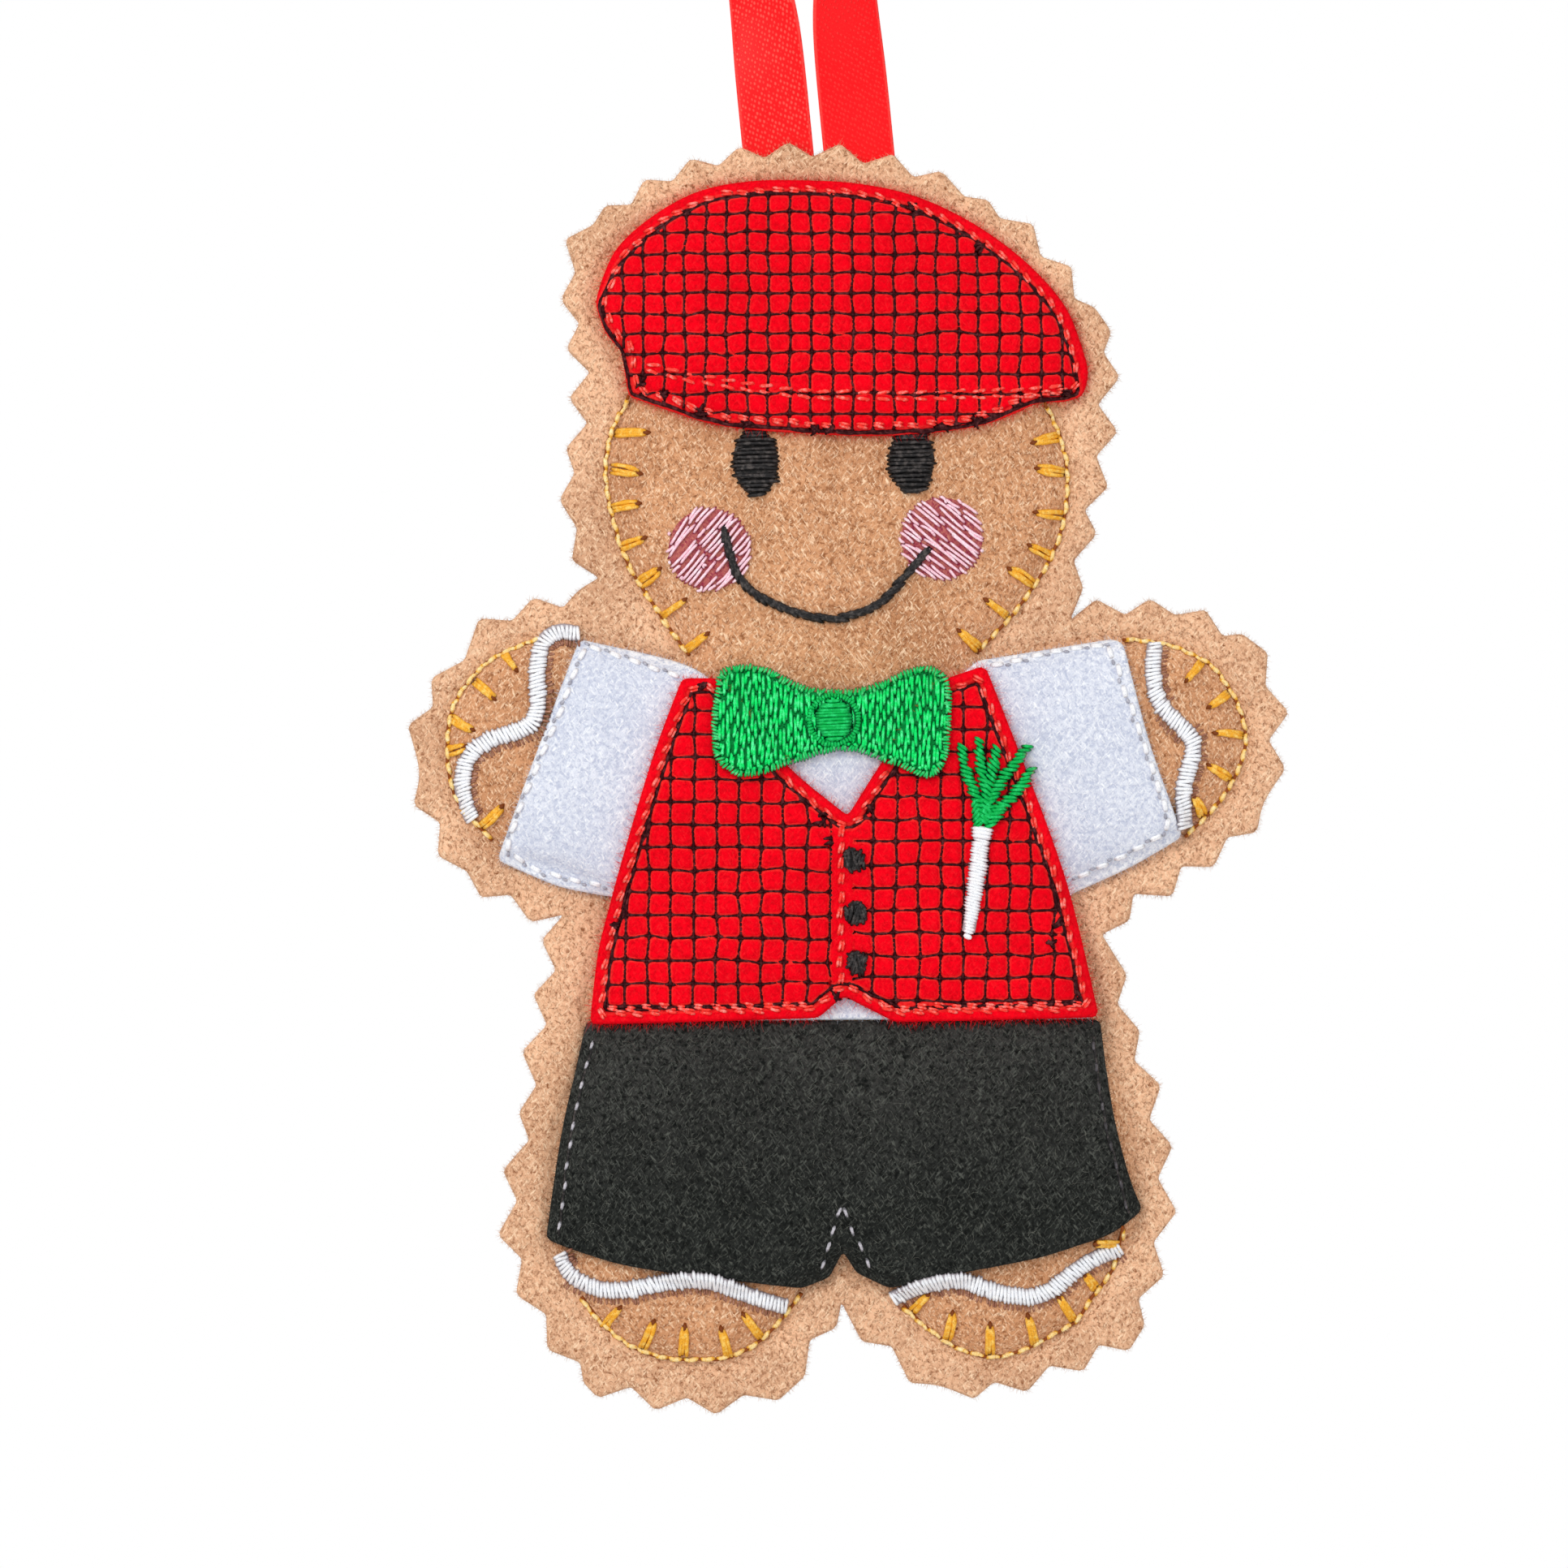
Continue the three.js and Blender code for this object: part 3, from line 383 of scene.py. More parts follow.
def new_piece(name, places, faces, finish, body=FIGURE):
    """A smooth mesh that rides on a body."""
    mesh = bpy.data.meshes.new(name)
    mesh.from_pydata(places.tolist(), [], faces)
    mesh.validate()
    mesh.shade_smooth()
    mesh.materials.append(finish.material)
    piece = bpy.data.objects.new(name, mesh)
    bpy.context.scene.collection.objects.link(piece)
    if body:
        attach(piece, body)
    return piece


def mark(piece, name, values, kind="FLOAT", field="value"):
    """Notes a value at each vertex of a piece, for its material."""
    attribute = piece.data.attributes.new(name, kind, "POINT")
    attribute.data.foreach_set(field, values.astype(np.float32).ravel())


def sheet_points(piece):
    return np.array([vertex.co for vertex in piece.data.vertices])[:, [0, 2]] / MM


def even_points(outline, spacing):
    """Points on an even triangular grid inside an outline."""
    low, high = outline.min(axis=0), outline.max(axis=0)
    rows = []
    for i, level in enumerate(np.arange(low[1], high[1], spacing * math.sqrt(3) / 2)):
        across = np.arange(low[0] + (i % 2) * spacing / 2, high[0], spacing)
        rows.append(np.column_stack([across, np.full(len(across), level)]))
    points = np.vstack(rows)
    points = points[inside(points, outline)]
    return points[distance(points, outline) > spacing * GRID_CLEAR_SHARE]


def triangulated(flat, around):
    """Triangles between points, of which the first ones go around the rim."""
    made = delaunay_2d_cdt([Vector(p) for p in flat], [], [list(range(around))], 1, 1e-6)
    source = [origin[0] for origin in made[3]]
    return [[source[i] for i in triangle] for triangle in made[2]]


def band(high, low, around):
    """The faces between two rings, which are given by the numbers of their first points."""
    following = [(i + 1) % around for i in range(around)]
    return [[low + i, low + j, high + j, high + i] for i, j in enumerate(following)]


def felt_sheet(name, outline, lower, upper, spacing, finish, edge=EDGE_ROUND, side_rings=4):
    """A closed sheet between two surfaces, with a rounded edge."""
    rim = inset(outline, edge)
    flat = np.vstack([rim, even_points(rim, spacing)])
    count, around = len(flat), len(rim)
    top, bottom = upper(flat), lower(flat)
    middle, half = (top + bottom)[:around] / 2, (top - bottom)[:around] / 2
    rings = [
        np.column_stack([rim + out_of(rim) * edge * math.cos(turn), middle + half * math.sin(turn)])
        for turn in np.linspace(math.pi / 2, -math.pi / 2, side_rings + 2)[1:-1]
    ]
    layers = [np.column_stack([flat, top]), *rings, np.column_stack([flat, bottom])]
    first = [0, *(count + i * around for i in range(side_rings)), count + side_rings * around]
    faces = triangulated(flat, around)
    faces += [[i + first[-1] for i in reversed(triangle)] for triangle in faces]
    for high, low in zip(first, first[1:]):
        faces += band(high, low, around)
    return new_piece(name, in_metres(np.vstack(layers)), faces, finish)


@dataclass(frozen=True)
class Style:
    """A kind of stitch. Its shares are of its radius, but for the lobes'."""

    radius: float
    lobe_share: float = 0.0  # by which a thread is thinner between its two plies
    lift_share: float = 0.5  # by which the middle stands above the face
    sink_share: float = 1.3  # by which the ends go below it
    flatness: float = 4.0
    steps: int = 9


def stitch_lines(starts, ends, face, style, bow=0.0):
    """Strands that come up at their starts, lie on the felt and go down at their ends."""
    share = np.linspace(0, 1, style.steps)
    arch = 1 - np.abs(2 * share - 1) ** style.flatness
    starts, ends = np.asarray(starts, float), np.asarray(ends, float)
    aside = right_of(unit(ends - starts))
    bow = np.broadcast_to(bow, len(starts))
    flat = (starts[:, None] + (ends - starts)[:, None] * share[:, None]
            + aside[:, None] * (bow[:, None] * 4 * share * (1 - share))[..., None])
    height = face(flat.reshape(-1, 2)).reshape(flat.shape[:2])
    height = height + style.radius * (style.lift_share * arch - style.sink_share * (1 - arch))
    lines = np.concatenate([flat, height[..., None]], axis=-1)
    return lines, style.radius * (0.5 + 0.5 * np.sqrt(arch)), (1 - arch) ** 1.5


class Threads:
    """Strands of thread or fibre that become one mesh."""

    def __init__(self):
        self.places = []
        self.faces = []
        self.tips = []
        self.count = 0

    def add(self, lines, radii, tips=0.0, sides=6, lobe_share=0.0, pitch=1.0):
        """Adds strands with as many points each. A tip is 1 where a strand goes into the felt."""
        strands, steps = lines.shape[:2]
        radii, tips = (np.broadcast_to(values, (strands, steps)) for values in (radii, tips))
        along = unit(np.gradient(lines, axis=1))
        across = unit(np.cross(along, np.array([0.0, 0.0, 1.0])))
        out = np.cross(across, along)
        run = np.cumsum(lengths(np.diff(lines, axis=1, prepend=lines[:, :1])), axis=1)
        angle = 2 * math.pi * np.arange(sides) / sides
        twist = 2 * math.pi * run / pitch
        ply = 1 - lobe_share + lobe_share * np.abs(np.cos(angle - twist[..., None]))
        offset = (across[:, :, None, :] * np.cos(angle)[:, None]
                  + out[:, :, None, :] * np.sin(angle)[:, None])
        places = lines[:, :, None, :] + offset * (radii[..., None] * ply)[..., None]
        self.places.append(places.reshape(-1, 3))
        self.tips.append(np.repeat(tips.reshape(-1), sides))
        for _ in range(strands):
            self.faces += tube_faces(self.count, steps, sides)
            self.count += steps * sides

    def stitch(self, starts, ends, face, style, bow=0.0):
        lines, radii, tips = stitch_lines(starts, ends, face, style, bow)
        self.add(lines, radii, tips, lobe_share=style.lobe_share)

    def lay(self, line, face, radii, tips=0.0, **twist):
        """Adds one strand that follows a face."""
        self.add(np.column_stack([line, face(line)])[None], radii, tips, **twist)

    def piece(self, name, finish, node=None):
        """The strands as one piece, which may take a CAD node's place."""
        made = new_piece(name, in_metres(np.vstack(self.places)), self.faces, finish)
        mark(made, "tip", np.concatenate(self.tips))
        if node:
            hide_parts(node)
        return made


def tube_faces(first, steps, sides):
    """The faces of a tube of rings, with its two ends closed."""
    last = first + (steps - 1) * sides
    faces = []
    for ring in range(first, last, sides):
        faces += band(ring, ring + sides, sides)
    return [*faces, list(range(first, first + sides)), list(range(last + sides - 1, last - 1, -1))]


def chords(outline, direction, pitch):
    """The parallel lines across an outline, as their starts and ends."""
    direction = unit(np.asarray(direction, float))
    aside = right_of(direction)
    x, y = outline @ direction, outline @ aside
    after_x, after_y = np.roll(x, -1), np.roll(y, -1)
    starts, ends = [], []
    for level in np.arange(y.min() + pitch / 2, y.max(), pitch):
        cut = (y > level) != (after_y > level)
        at = np.sort(x[cut] + (level - y[cut]) * (after_x - x)[cut] / (after_y - y)[cut])
        starts += [direction * low + aside * level for low in at[::2]]
        ends += [direction * high + aside * level for high in at[1::2]]
    return np.array(starts), np.array(ends)


def seeded(seed):
    return np.random.default_rng(seed)


# Materials


class Ramp(NamedTuple):
    """The values between which a share rises from 0 to its most."""

    low: float
    high: float
    most_share: float = 1.0


class Noise(NamedTuple):
    scale: float
    detail: float
    roughness: float = 0.6
    distortion: float = 0.0


class Strokes(NamedTuple):
    """Noise that is drawn out along one direction of the sheet, like combed fibres."""

    turn_deg: float
    scale: float
    stretch: float


class Tint(NamedTuple):
    """A colour that comes in along a ramp of one of the piece's attributes."""

    attribute: str
    ramp: Ramp
    rgb: tuple


FELT_CLOUD = Noise(0.16, 3.0)
FELT_CLUMP = Noise(2.6, 5.0, 0.7, 0.5)
FELT_STROKE = Noise(1.0, 2.0, 0.55, 0.5)
LIT_STROKES = (Strokes(52, 6.4, 3.4), Strokes(-58, 6.0, 3.4))
SHADED_STROKES = (Strokes(-22, 6.0, 2.8), Strokes(84, 5.6, 2.8))
FELT_CLOUD_RAMP = Ramp(0.62, 0.3, 0.35)
LIT_RAMP = Ramp(0.55, 0.74)
SHADED_RAMP = Ramp(0.58, 0.76)
LIT_HEIGHT_SHARE = 0.8
THREAD_VARY = Noise(2.6, 3.0)
THREAD_FINE = Noise(14.0, 2.0, 0.5)
THREAD_LIGHT_RAMP = Ramp(0.47, 0.66)
THREAD_DARK_RAMP = Ramp(0.46, 0.28, 0.7)
GLINT_RAMP = Ramp(0.08, 0.0)
# painted shade where a thread goes into the felt
TIP_SHADE_RAMP = Ramp(0.04, 0.55)
THREAD_DEPTH = 0.03


def colour(red, green, blue):
    """A colour of the photograph, as a picture gives it, from 0 to 255."""
    shares = [part / 255 for part in (red, green, blue)]
    linear = [s / 12.92 if s <= 0.04045 else ((s + 0.055) / 1.055) ** 2.4 for s in shares]
    return (*linear, 1.0)


class Shader:
    """A material or a world that is put together from nodes."""

    def __init__(self, owner):
        self.owner = owner
        owner.use_nodes = True
        self.tree = owner.node_tree
        self.tree.nodes.clear()

    def fill(self, socket, value):
        if isinstance(value, bpy.types.NodeSocket):
            self.tree.links.new(value, socket)
        else:
            socket.default_value = value

    def node(self, kind, inputs=(), **settings):
        made = self.tree.nodes.new("ShaderNode" + kind)
        for name, value in settings.items():
            setattr(made, name, value)
        for name, value in dict(inputs).items():
            self.fill(made.inputs[name], value)
        return made

    def math(self, operation, *values):
        return self.node("Math", enumerate(values), operation=operation).outputs[0]

    def attribute(self, name, output="Fac"):
        return self.node("Attribute", attribute_name=name).outputs[output]

    def millimetres(self):
        place = self.node("TexCoord").outputs["Object"]
        return self.node("VectorMath", {0: place, "Scale": 1 / MM}, operation="SCALE").outputs[0]

    def noise(self, vector, noise):
        inputs = {name.title(): value for name, value in noise._asdict().items()}
        return self.node("TexNoise", {"Vector": vector, **inputs}).outputs["Fac"]

    def strokes(self, vector, strokes):
        inputs = {"Vector": vector, "Angle": math.radians(strokes.turn_deg)}
        way = self.node("VectorRotate", inputs, rotation_type="Y_AXIS").outputs[0]
        size = (strokes.scale / strokes.stretch, strokes.scale, strokes.scale)
        drawn_out = self.node("VectorMath", {0: way, 1: size}, operation="MULTIPLY").outputs[0]
        return self.noise(drawn_out, FELT_STROKE)

    def spread(self, value, ramp):
        inputs = {"Value": value, "From Min": ramp.low, "From Max": ramp.high, "To Max": ramp.most_share}
        return self.node("MapRange", inputs).outputs[0]

    def mix(self, share, one, other):
        made = self.node("Mix", data_type="RGBA")
        for socket, value in zip((made.inputs[0], made.inputs[6], made.inputs[7]), (share, one, other)):
            self.fill(socket, value)
        return made.outputs[2]

    def bump(self, height, depth):
        inputs = {"Height": height, "Distance": depth * MM, "Strength": 1.0}
        return self.node("Bump", inputs).outputs[0]

    def surface(self, socket):
        self.node("OutputMaterial", {"Surface": socket})
        return self.owner

    def plain(self, **inputs):
        names = {name.replace("_", " ").title().replace("Ior", "IOR"): value
                 for name, value in inputs.items()}
        return self.surface(self.node("BsdfPrincipled", names).outputs[0])


def new_shader(name):
    return Shader(bpy.data.materials.new(name))


def felt(name, slot, base, dark, light, sheen=0.1, depth=0.1, clump_ramp=Ramp(0.38, 0.56),
         stroke_share=0.9, tints=()):
    """Pressed fibres: clouds and clumps of colour, and light and dark strokes that cross."""
    shader = new_shader(name)
    base, dark, light = (colour(*rgb) for rgb in (base, dark, light))
    place = shader.millimetres()
    clump = shader.noise(place, FELT_CLUMP)
    lit, shaded = (
        shader.math("MAXIMUM", *(shader.strokes(place, strokes) for strokes in pair))
        for pair in (LIT_STROKES, SHADED_STROKES)
    )
    for tint in tints:
        value = shader.spread(shader.attribute(tint.attribute), tint.ramp)
        base = shader.mix(value, base, colour(*tint.rgb))
    tone = shader.mix(shader.spread(clump, clump_ramp), dark, base)
    tone = shader.mix(shader.spread(shader.noise(place, FELT_CLOUD), FELT_CLOUD_RAMP), tone, dark)
    for strokes, ramp, tip in ((shaded, SHADED_RAMP, dark), (lit, LIT_RAMP, light)):
        tone = shader.mix(shader.spread(strokes, ramp._replace(most_share=stroke_share)), tone, tip)
    height = shader.math("MULTIPLY_ADD", lit, LIT_HEIGHT_SHARE, clump)
    material = shader.plain(base_color=tone, roughness=0.95, specular_ior_level=0.06,
                            sheen_weight=sheen, sheen_roughness=0.6, sheen_tint=light,
                            normal=shader.bump(height, depth))
    return Finish(material, slot)


def thread(name, slot, base, dark, light, specular=0.22, glint_share=0.0):
    """Twisted thread: lighter and darker along its length, with painted shade where it goes into the
    felt.

    The glint is a painted highlight: how much of the light colour shows in the middle of each stitch."""
    shader = new_shader(name)
    base, dark, light = (colour(*rgb) for rgb in (base, dark, light))
    place = shader.millimetres()
    tip = shader.attribute("tip")
    fine = shader.noise(place, THREAD_FINE)
    tone = shader.mix(shader.spread(shader.noise(place, THREAD_VARY), THREAD_LIGHT_RAMP), base, light)
    # painted highlight in the middle of each stitch
    tone = shader.mix(shader.spread(tip, GLINT_RAMP._replace(most_share=glint_share)), tone, light)
    tone = shader.mix(shader.spread(fine, THREAD_DARK_RAMP), tone, dark)
    # painted shade at the ends of each stitch, where the thread goes into its hole
    tone = shader.mix(shader.spread(tip, TIP_SHADE_RAMP), tone, dark)
    material = shader.plain(base_color=tone, roughness=0.42, specular_ior_level=specular,
                            normal=shader.bump(fine, THREAD_DEPTH))
    return Finish(material, slot)


# The camera and the light

LENS = 150.0
SENSOR = 36.0
AIM_DEPTH = 2.5  # of the plane that fills the photograph's frame, in front of the sheet's middle
AMBIENT = 0.74
LAMP_AIM = (0, 0, -0.11)
LAMPS = {  # place, side and power
    "key": ((-0.28, -0.5, 0.2), 0.3, 1.65),
    "fill": ((0.4, -0.45, -0.1), 0.4, 0.5),
}
FLOOR_HEIGHT = -0.2
FLOOR_HALF = 1.2
FLOOR_GREY = (0.9, 0.9, 0.9, 1)


def linked(thing):
    bpy.context.scene.collection.objects.link(thing)
    return thing


def add_camera():
    side = PHOTO_SIDE_PX * PIXEL
    centre = placed([PHOTO_SIDE_PX / 2, PHOTO_SIDE_PX / 2])
    camera = linked(bpy.data.objects.new("camera", bpy.data.cameras.new("camera")))
    camera.data.lens = LENS
    camera.data.sensor_width = SENSOR
    camera.location = in_metres([*centre, AIM_DEPTH + side * LENS / SENSOR])[0]
    camera.rotation_euler = (math.pi / 2, 0, 0)
    bpy.context.scene.camera = camera


def add_lamp(name, place, side, power):
    lamp = linked(bpy.data.objects.new(name, bpy.data.lights.new(name, "AREA")))
    lamp.data.energy = power
    lamp.data.size = side
    lamp.location = place
    lamp.rotation_euler = (Vector(LAMP_AIM) - Vector(place)).to_track_quat("-Z", "Y").to_euler()


def seen_share(shader):
    """1 for rays from the camera or through gloss, where the background shows, and otherwise 0."""
    rays = shader.node("LightPath").outputs
    gloss = shader.math("MAXIMUM", rays["Is Camera Ray"], rays["Is Glossy Ray"])
    return shader.math("MAXIMUM", gloss, rays["Is Transmission Ray"])


def add_world():
    """Even light on the object, and white where the background shows."""
    world = bpy.data.worlds.new("studio")
    bpy.context.scene.world = world
    shader = Shader(world)
    strength = shader.node("MapRange", {"Value": seen_share(shader), "To Min": AMBIENT, "To Max": 1.0})
    background = shader.node("Background", {"Color": (1, 1, 1, 1), "Strength": strength.outputs[0]})
    shader.node("OutputWorld", {"Surface": background.outputs[0]})


def backdrop_material():
    """White to the camera, and pale grey to the light."""
    shader = new_shader("white_backdrop")
    grey = shader.node("BsdfDiffuse", {"Color": FLOOR_GREY}).outputs[0]
    glow = shader.node("Emission", {"Strength": 1.0}).outputs[0]
    surface = shader.node("MixShader", {0: seen_share(shader), 1: grey, 2: glow})
    return shader.surface(surface.outputs[0])


def add_floor():
    sides = ((-1, -1), (1, -1), (1, 1), (-1, 1))
    corners = [(x * FLOOR_HALF, y * FLOOR_HALF, FLOOR_HEIGHT) for x, y in sides]
    mesh = bpy.data.meshes.new("floor")
    mesh.from_pydata(corners, [], [[0, 1, 2, 3]])
    mesh.materials.append(backdrop_material())
    linked(bpy.data.objects.new("floor", mesh))


def add_studio():
    add_camera()
    add_world()
    for name, lamp in LAMPS.items():
        add_lamp(name, *lamp)
    add_floor()
    bpy.context.scene.view_settings.view_transform = "Standard"


# The ribbon, which is the only cord

RIBBON_WIDTH = 6.0
RIBBON_THICKNESS = 0.34
RIBBON_LEAN_SHARE = 0.1  # of its height, by which a strand leans to the left
EDGE_THIN_SHARE = 0.45
EDGE_POWER = 12
STRANDS_PX = (957.5, 1057.5)
SEWN_END_DOWN_PX = 292
STRAND_DOWN_PX = 171
LOOP_RADIUS = 12.4
LOOP_TOP = 0.2  # of its middle line
LOOP_CENTRE = LOOP_TOP - LOOP_RADIUS
LOOP_STRAIGHT = 8.0
LOOP_LOWER_PULL = 18.0
LOOP_UPPER_PULL = 16.0
FOLD_HEIGHT = HEAD_TOP + 0.6
TWIST_HEIGHT = 33.0
RIBBON_COLUMNS = 24
RIBBON_STEP = 0.5
TURN_STEPS = 40
TOP_STEPS = 60
WEAVE_TURN = (0, 0, math.radians(24))
WEAVE_SCALE = (3.1, 2.2, 1)
WEAVE_RANDOMNESS = 0.35
WEAVE_DEPTH = 0.05
RIBBON_CLOUD = Noise(0.25, 2.0)
CLOUD_RAMP = Ramp(0.35, 0.65)
FLOAT_RAMP = Ramp(0.42, 0.16)
RIGHT_STRAND_SHADE_RAMP = Ramp(100, 135, 0.8)  # by millimetres along the ribbon; painted shade that makes the right strand a deeper red than the left
SELVEDGE_RAMP = Ramp(2.72, 2.86)  # by millimetres from its middle
RIBBON_REDS = {"deep": (236, 0, 8), "cloud": (252, 8, 14), "float": (255, 80, 70), "far": (250, 0, 12),
               "selvedge": (255, 60, 55)}


def strand_point(across_px, height):
    foot = placed([across_px, STRAND_DOWN_PX])
    return np.array([foot[0] - (height - foot[1]) * RIBBON_LEAN_SHARE, height])


def bezier(points):
    t = np.linspace(0, 1, TURN_STEPS)[:, None]
    a, b, c, d = (np.asarray(p, float) for p in points)
    return a * (1 - t) ** 3 + 3 * b * t * (1 - t) ** 2 + 3 * c * t ** 2 * (1 - t) + d * t ** 3


def strand_line(across_px, side):
    """One strand's middle line, from its sewn end up to where the round top begins."""
    straight = FOLD_HEIGHT + LOOP_STRAIGHT
    sewn = placed([across_px, SEWN_END_DOWN_PX])[1]
    low, pulled = (strand_point(across_px, h) for h in (straight, straight + LOOP_LOWER_PULL))
    across = side * LOOP_RADIUS
    turn = bezier([low, pulled, (across, LOOP_CENTRE - LOOP_UPPER_PULL), (across, LOOP_CENTRE)])
    return np.vstack([[strand_point(across_px, sewn)], turn])


def ribbon_line(step):
    """The ribbon's middle line on the sheet, from its left end to its right end."""
    top = (0, LOOP_CENTRE) + LOOP_RADIUS * heading(np.linspace(math.pi, 0, TOP_STEPS)[1:-1])
    left, right = (strand_line(strand, side) for strand, side in zip(STRANDS_PX, (-1, 1)))
    return resampled(np.vstack([left, top, right[::-1]]), step)


def ribbon_material():
    """Satin weave: a staggered pattern of short floats, with plain selvedges."""
    shader = new_shader("red_ribbon")
    reds = {part: colour(*rgb) for part, rgb in RIBBON_REDS.items()}
    weave = shader.attribute("weave", "Vector")
    mapping = {"Vector": weave, "Rotation": WEAVE_TURN, "Scale": WEAVE_SCALE}
    slanted = shader.node("Mapping", mapping).outputs[0]
    cells = {"Vector": slanted, "Scale": 1.0, "Randomness": WEAVE_RANDOMNESS}
    floats = shader.spread(shader.node("TexVoronoi", cells).outputs["Distance"], FLOAT_RAMP)
    across, run = shader.node("SeparateXYZ", {0: weave}).outputs[:2]
    cloud = shader.spread(shader.noise(weave, RIBBON_CLOUD), CLOUD_RAMP)
    tone = shader.mix(cloud, reds["deep"], reds["cloud"])
    tone = shader.mix(floats, tone, reds["float"])
    # painted shade: the right strand is painted a deeper red, with fewer pale floats, than the left,
    # which leans to the light
    tone = shader.mix(shader.spread(run, RIGHT_STRAND_SHADE_RAMP), tone, reds["far"])
    edge = shader.spread(shader.math("ABSOLUTE", across), SELVEDGE_RAMP)
    tone = shader.mix(edge, tone, reds["selvedge"])
    return shader.plain(base_color=tone, roughness=0.42, specular_ior_level=0.18,
                        normal=shader.bump(floats, WEAVE_DEPTH))


def ribbon_section():
    """The ring of a cross-section: how far aside each point is, and how far raised."""
    shares = np.linspace(-1, 1, RIBBON_COLUMNS + 1)
    raised = RIBBON_THICKNESS / 2 * (1 - EDGE_THIN_SHARE * np.abs(shares) ** EDGE_POWER)
    aside = shares * RIBBON_WIDTH / 2
    return np.concatenate([aside, aside[::-1]]), np.concatenate([-raised, raised[::-1]])


def ribbon_turn(line):
    """How far the ribbon has turned on its way up, from flat at the head to edge on."""
    share = np.clip((line[:, 1] - FOLD_HEIGHT) / TWIST_HEIGHT, 0, 1)
    return math.pi / 2 * share * share * (3 - 2 * share)


def add_ribbon():
    line = ribbon_line(RIBBON_STEP)
    along = along_of(line)
    turn = ribbon_turn(line)
    across = np.column_stack([right_of(along) * np.cos(turn)[:, None], np.sin(turn)])
    out = np.cross(across, np.column_stack([along, np.zeros(len(line))]))
    aside, raised = ribbon_section()
    middle = np.column_stack([line, np.zeros(len(line))])
    places = middle[:, None] + across[:, None] * aside[:, None] + out[:, None] * raised[:, None]
    faces = tube_faces(0, len(line), len(aside))
    finish = Finish(ribbon_material(), "red_ribbon")
    ribbon = new_piece("ribbon", in_metres(places), faces, finish, body=None)
    run = np.repeat(np.arange(len(line)) * RIBBON_STEP, len(aside))
    weave = np.stack([np.tile(aside, len(line)), run, np.zeros(len(run))], axis=1)
    mark(ribbon, "weave", weave, "FLOAT_VECTOR", "vector")
    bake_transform(ribbon)
    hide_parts("ribbon_loop", "ribbon_end_left", "ribbon_end_right")


add_studio()
add_ribbon()


# Felt

TAN_FELT = felt(
    "tan_felt", "tan_felt", (217, 158, 115), (134, 78, 42), (255, 220, 184),
    clump_ramp=Ramp(0.32, 0.52), stroke_share=1.0,
    tints=[Tint("border", Ramp(0.0, 1.0, 0.9), (244, 194, 156))])
# The press tints are painted light and shade: a pink painted highlight on the rims of the plaid's cells,
# and painted shade in the grooves between them.
RED_FELT = felt(
    "red_felt", "red_felt", (244, 0, 24), (196, 0, 16), (255, 40, 46), sheen=0.0, depth=0.06,
    clump_ramp=Ramp(0.3, 0.54), stroke_share=0.4,
    tints=[Tint("press", Ramp(0.12, 0.36, 0.5), (255, 70, 60)),
           Tint("press", Ramp(0.44, 0.86), (90, 0, 8))])
WHITE_FELT = felt(
    "white_felt", "white_felt", (224, 228, 239), (184, 191, 212), (250, 252, 255),
    tints=[Tint("rim", Ramp(0.15, 0.75, 0.85), (254, 254, 255))])
# painted light: the shorts get lighter towards their top, where the light from above falls
BLACK_FELT = felt(
    "black_felt", "black_felt", (39, 41, 39), (14, 16, 15), (104, 107, 100), sheen=0.05,
    stroke_share=0.55, tints=[Tint("height", Ramp(-152.0, -135.0, 0.6), (72, 70, 68))])
STUFFING = felt("white_stuffing", "white_stuffing", (240, 238, 232), (220, 218, 212), (250, 250, 250))
STABILISER = STUFFING._replace(slot="white_stabiliser")
PALE_LINT = felt("pale_lint", "black_felt", (128, 128, 118), (96, 96, 90), (170, 170, 158))
TAN_LINT = felt("tan_lint", "tan_felt", (238, 196, 156), (204, 150, 108), (252, 222, 190))
PLAID_THREAD = thread("plaid_thread", "plaid_thread", (46, 4, 10), (16, 2, 4), (96, 44, 46),
                      specular=0.08)

FELT_SPACING = 0.5
PLAID_SPACING = 0.22  # close enough to show the cells between its threads
STUFFING_SPACING = 1.2
STUFFING_STEP = 0.8
GARMENT_EDGE = 0.28
GARMENT_UNDER = PANEL_FACE - 0.05
VEST_UNDER = GARMENT_FACE - 0.05
STUFFING_LEVELS = (-0.2, -0.25)  # by which it stays inside the panels
STABILISER_LEVELS = (-0.22, 0.02)
STUFFING_EDGE = 0.8
STABILISER_EDGE = 0.1
BORDER_SPAN = 1.4  # over which the felt gets paler across the outline seam
RIM_WIDTH = 1.0
SHORTS_TOP_RISE = 0.55  # by which the shorts reach up to the vest's fringe
SHORTS_TOP_SPAN = 4.0


class Fuzz(NamedTuple):
    """Fine fibres that stand out of a cut edge."""

    per_mm: float
    length: float
    seed: int


class Lint(NamedTuple):
    """Loose fibres that lie on a face."""

    per_mm2: float
    length: float
    radius: float
    seed: int


FUZZ_RADII = 0.017 * np.array([1.0, 0.8, 0.25])
FUZZ_RUN_SHARES = np.array([0.0, 0.45, 1.0])
FUZZ_LEAN = 0.75
FUZZ_CURL = 0.35
FUZZ_RISE = 0.5
FUZZ_RISE_SHARE = 0.6
LINT_TAPER_SHARES = np.array([0.5, 1.0, 1.0, 1.0, 0.4])
LINT_CURL = 1.1
LINT_LIFT = 0.05
LINT_ARCH = 0.03


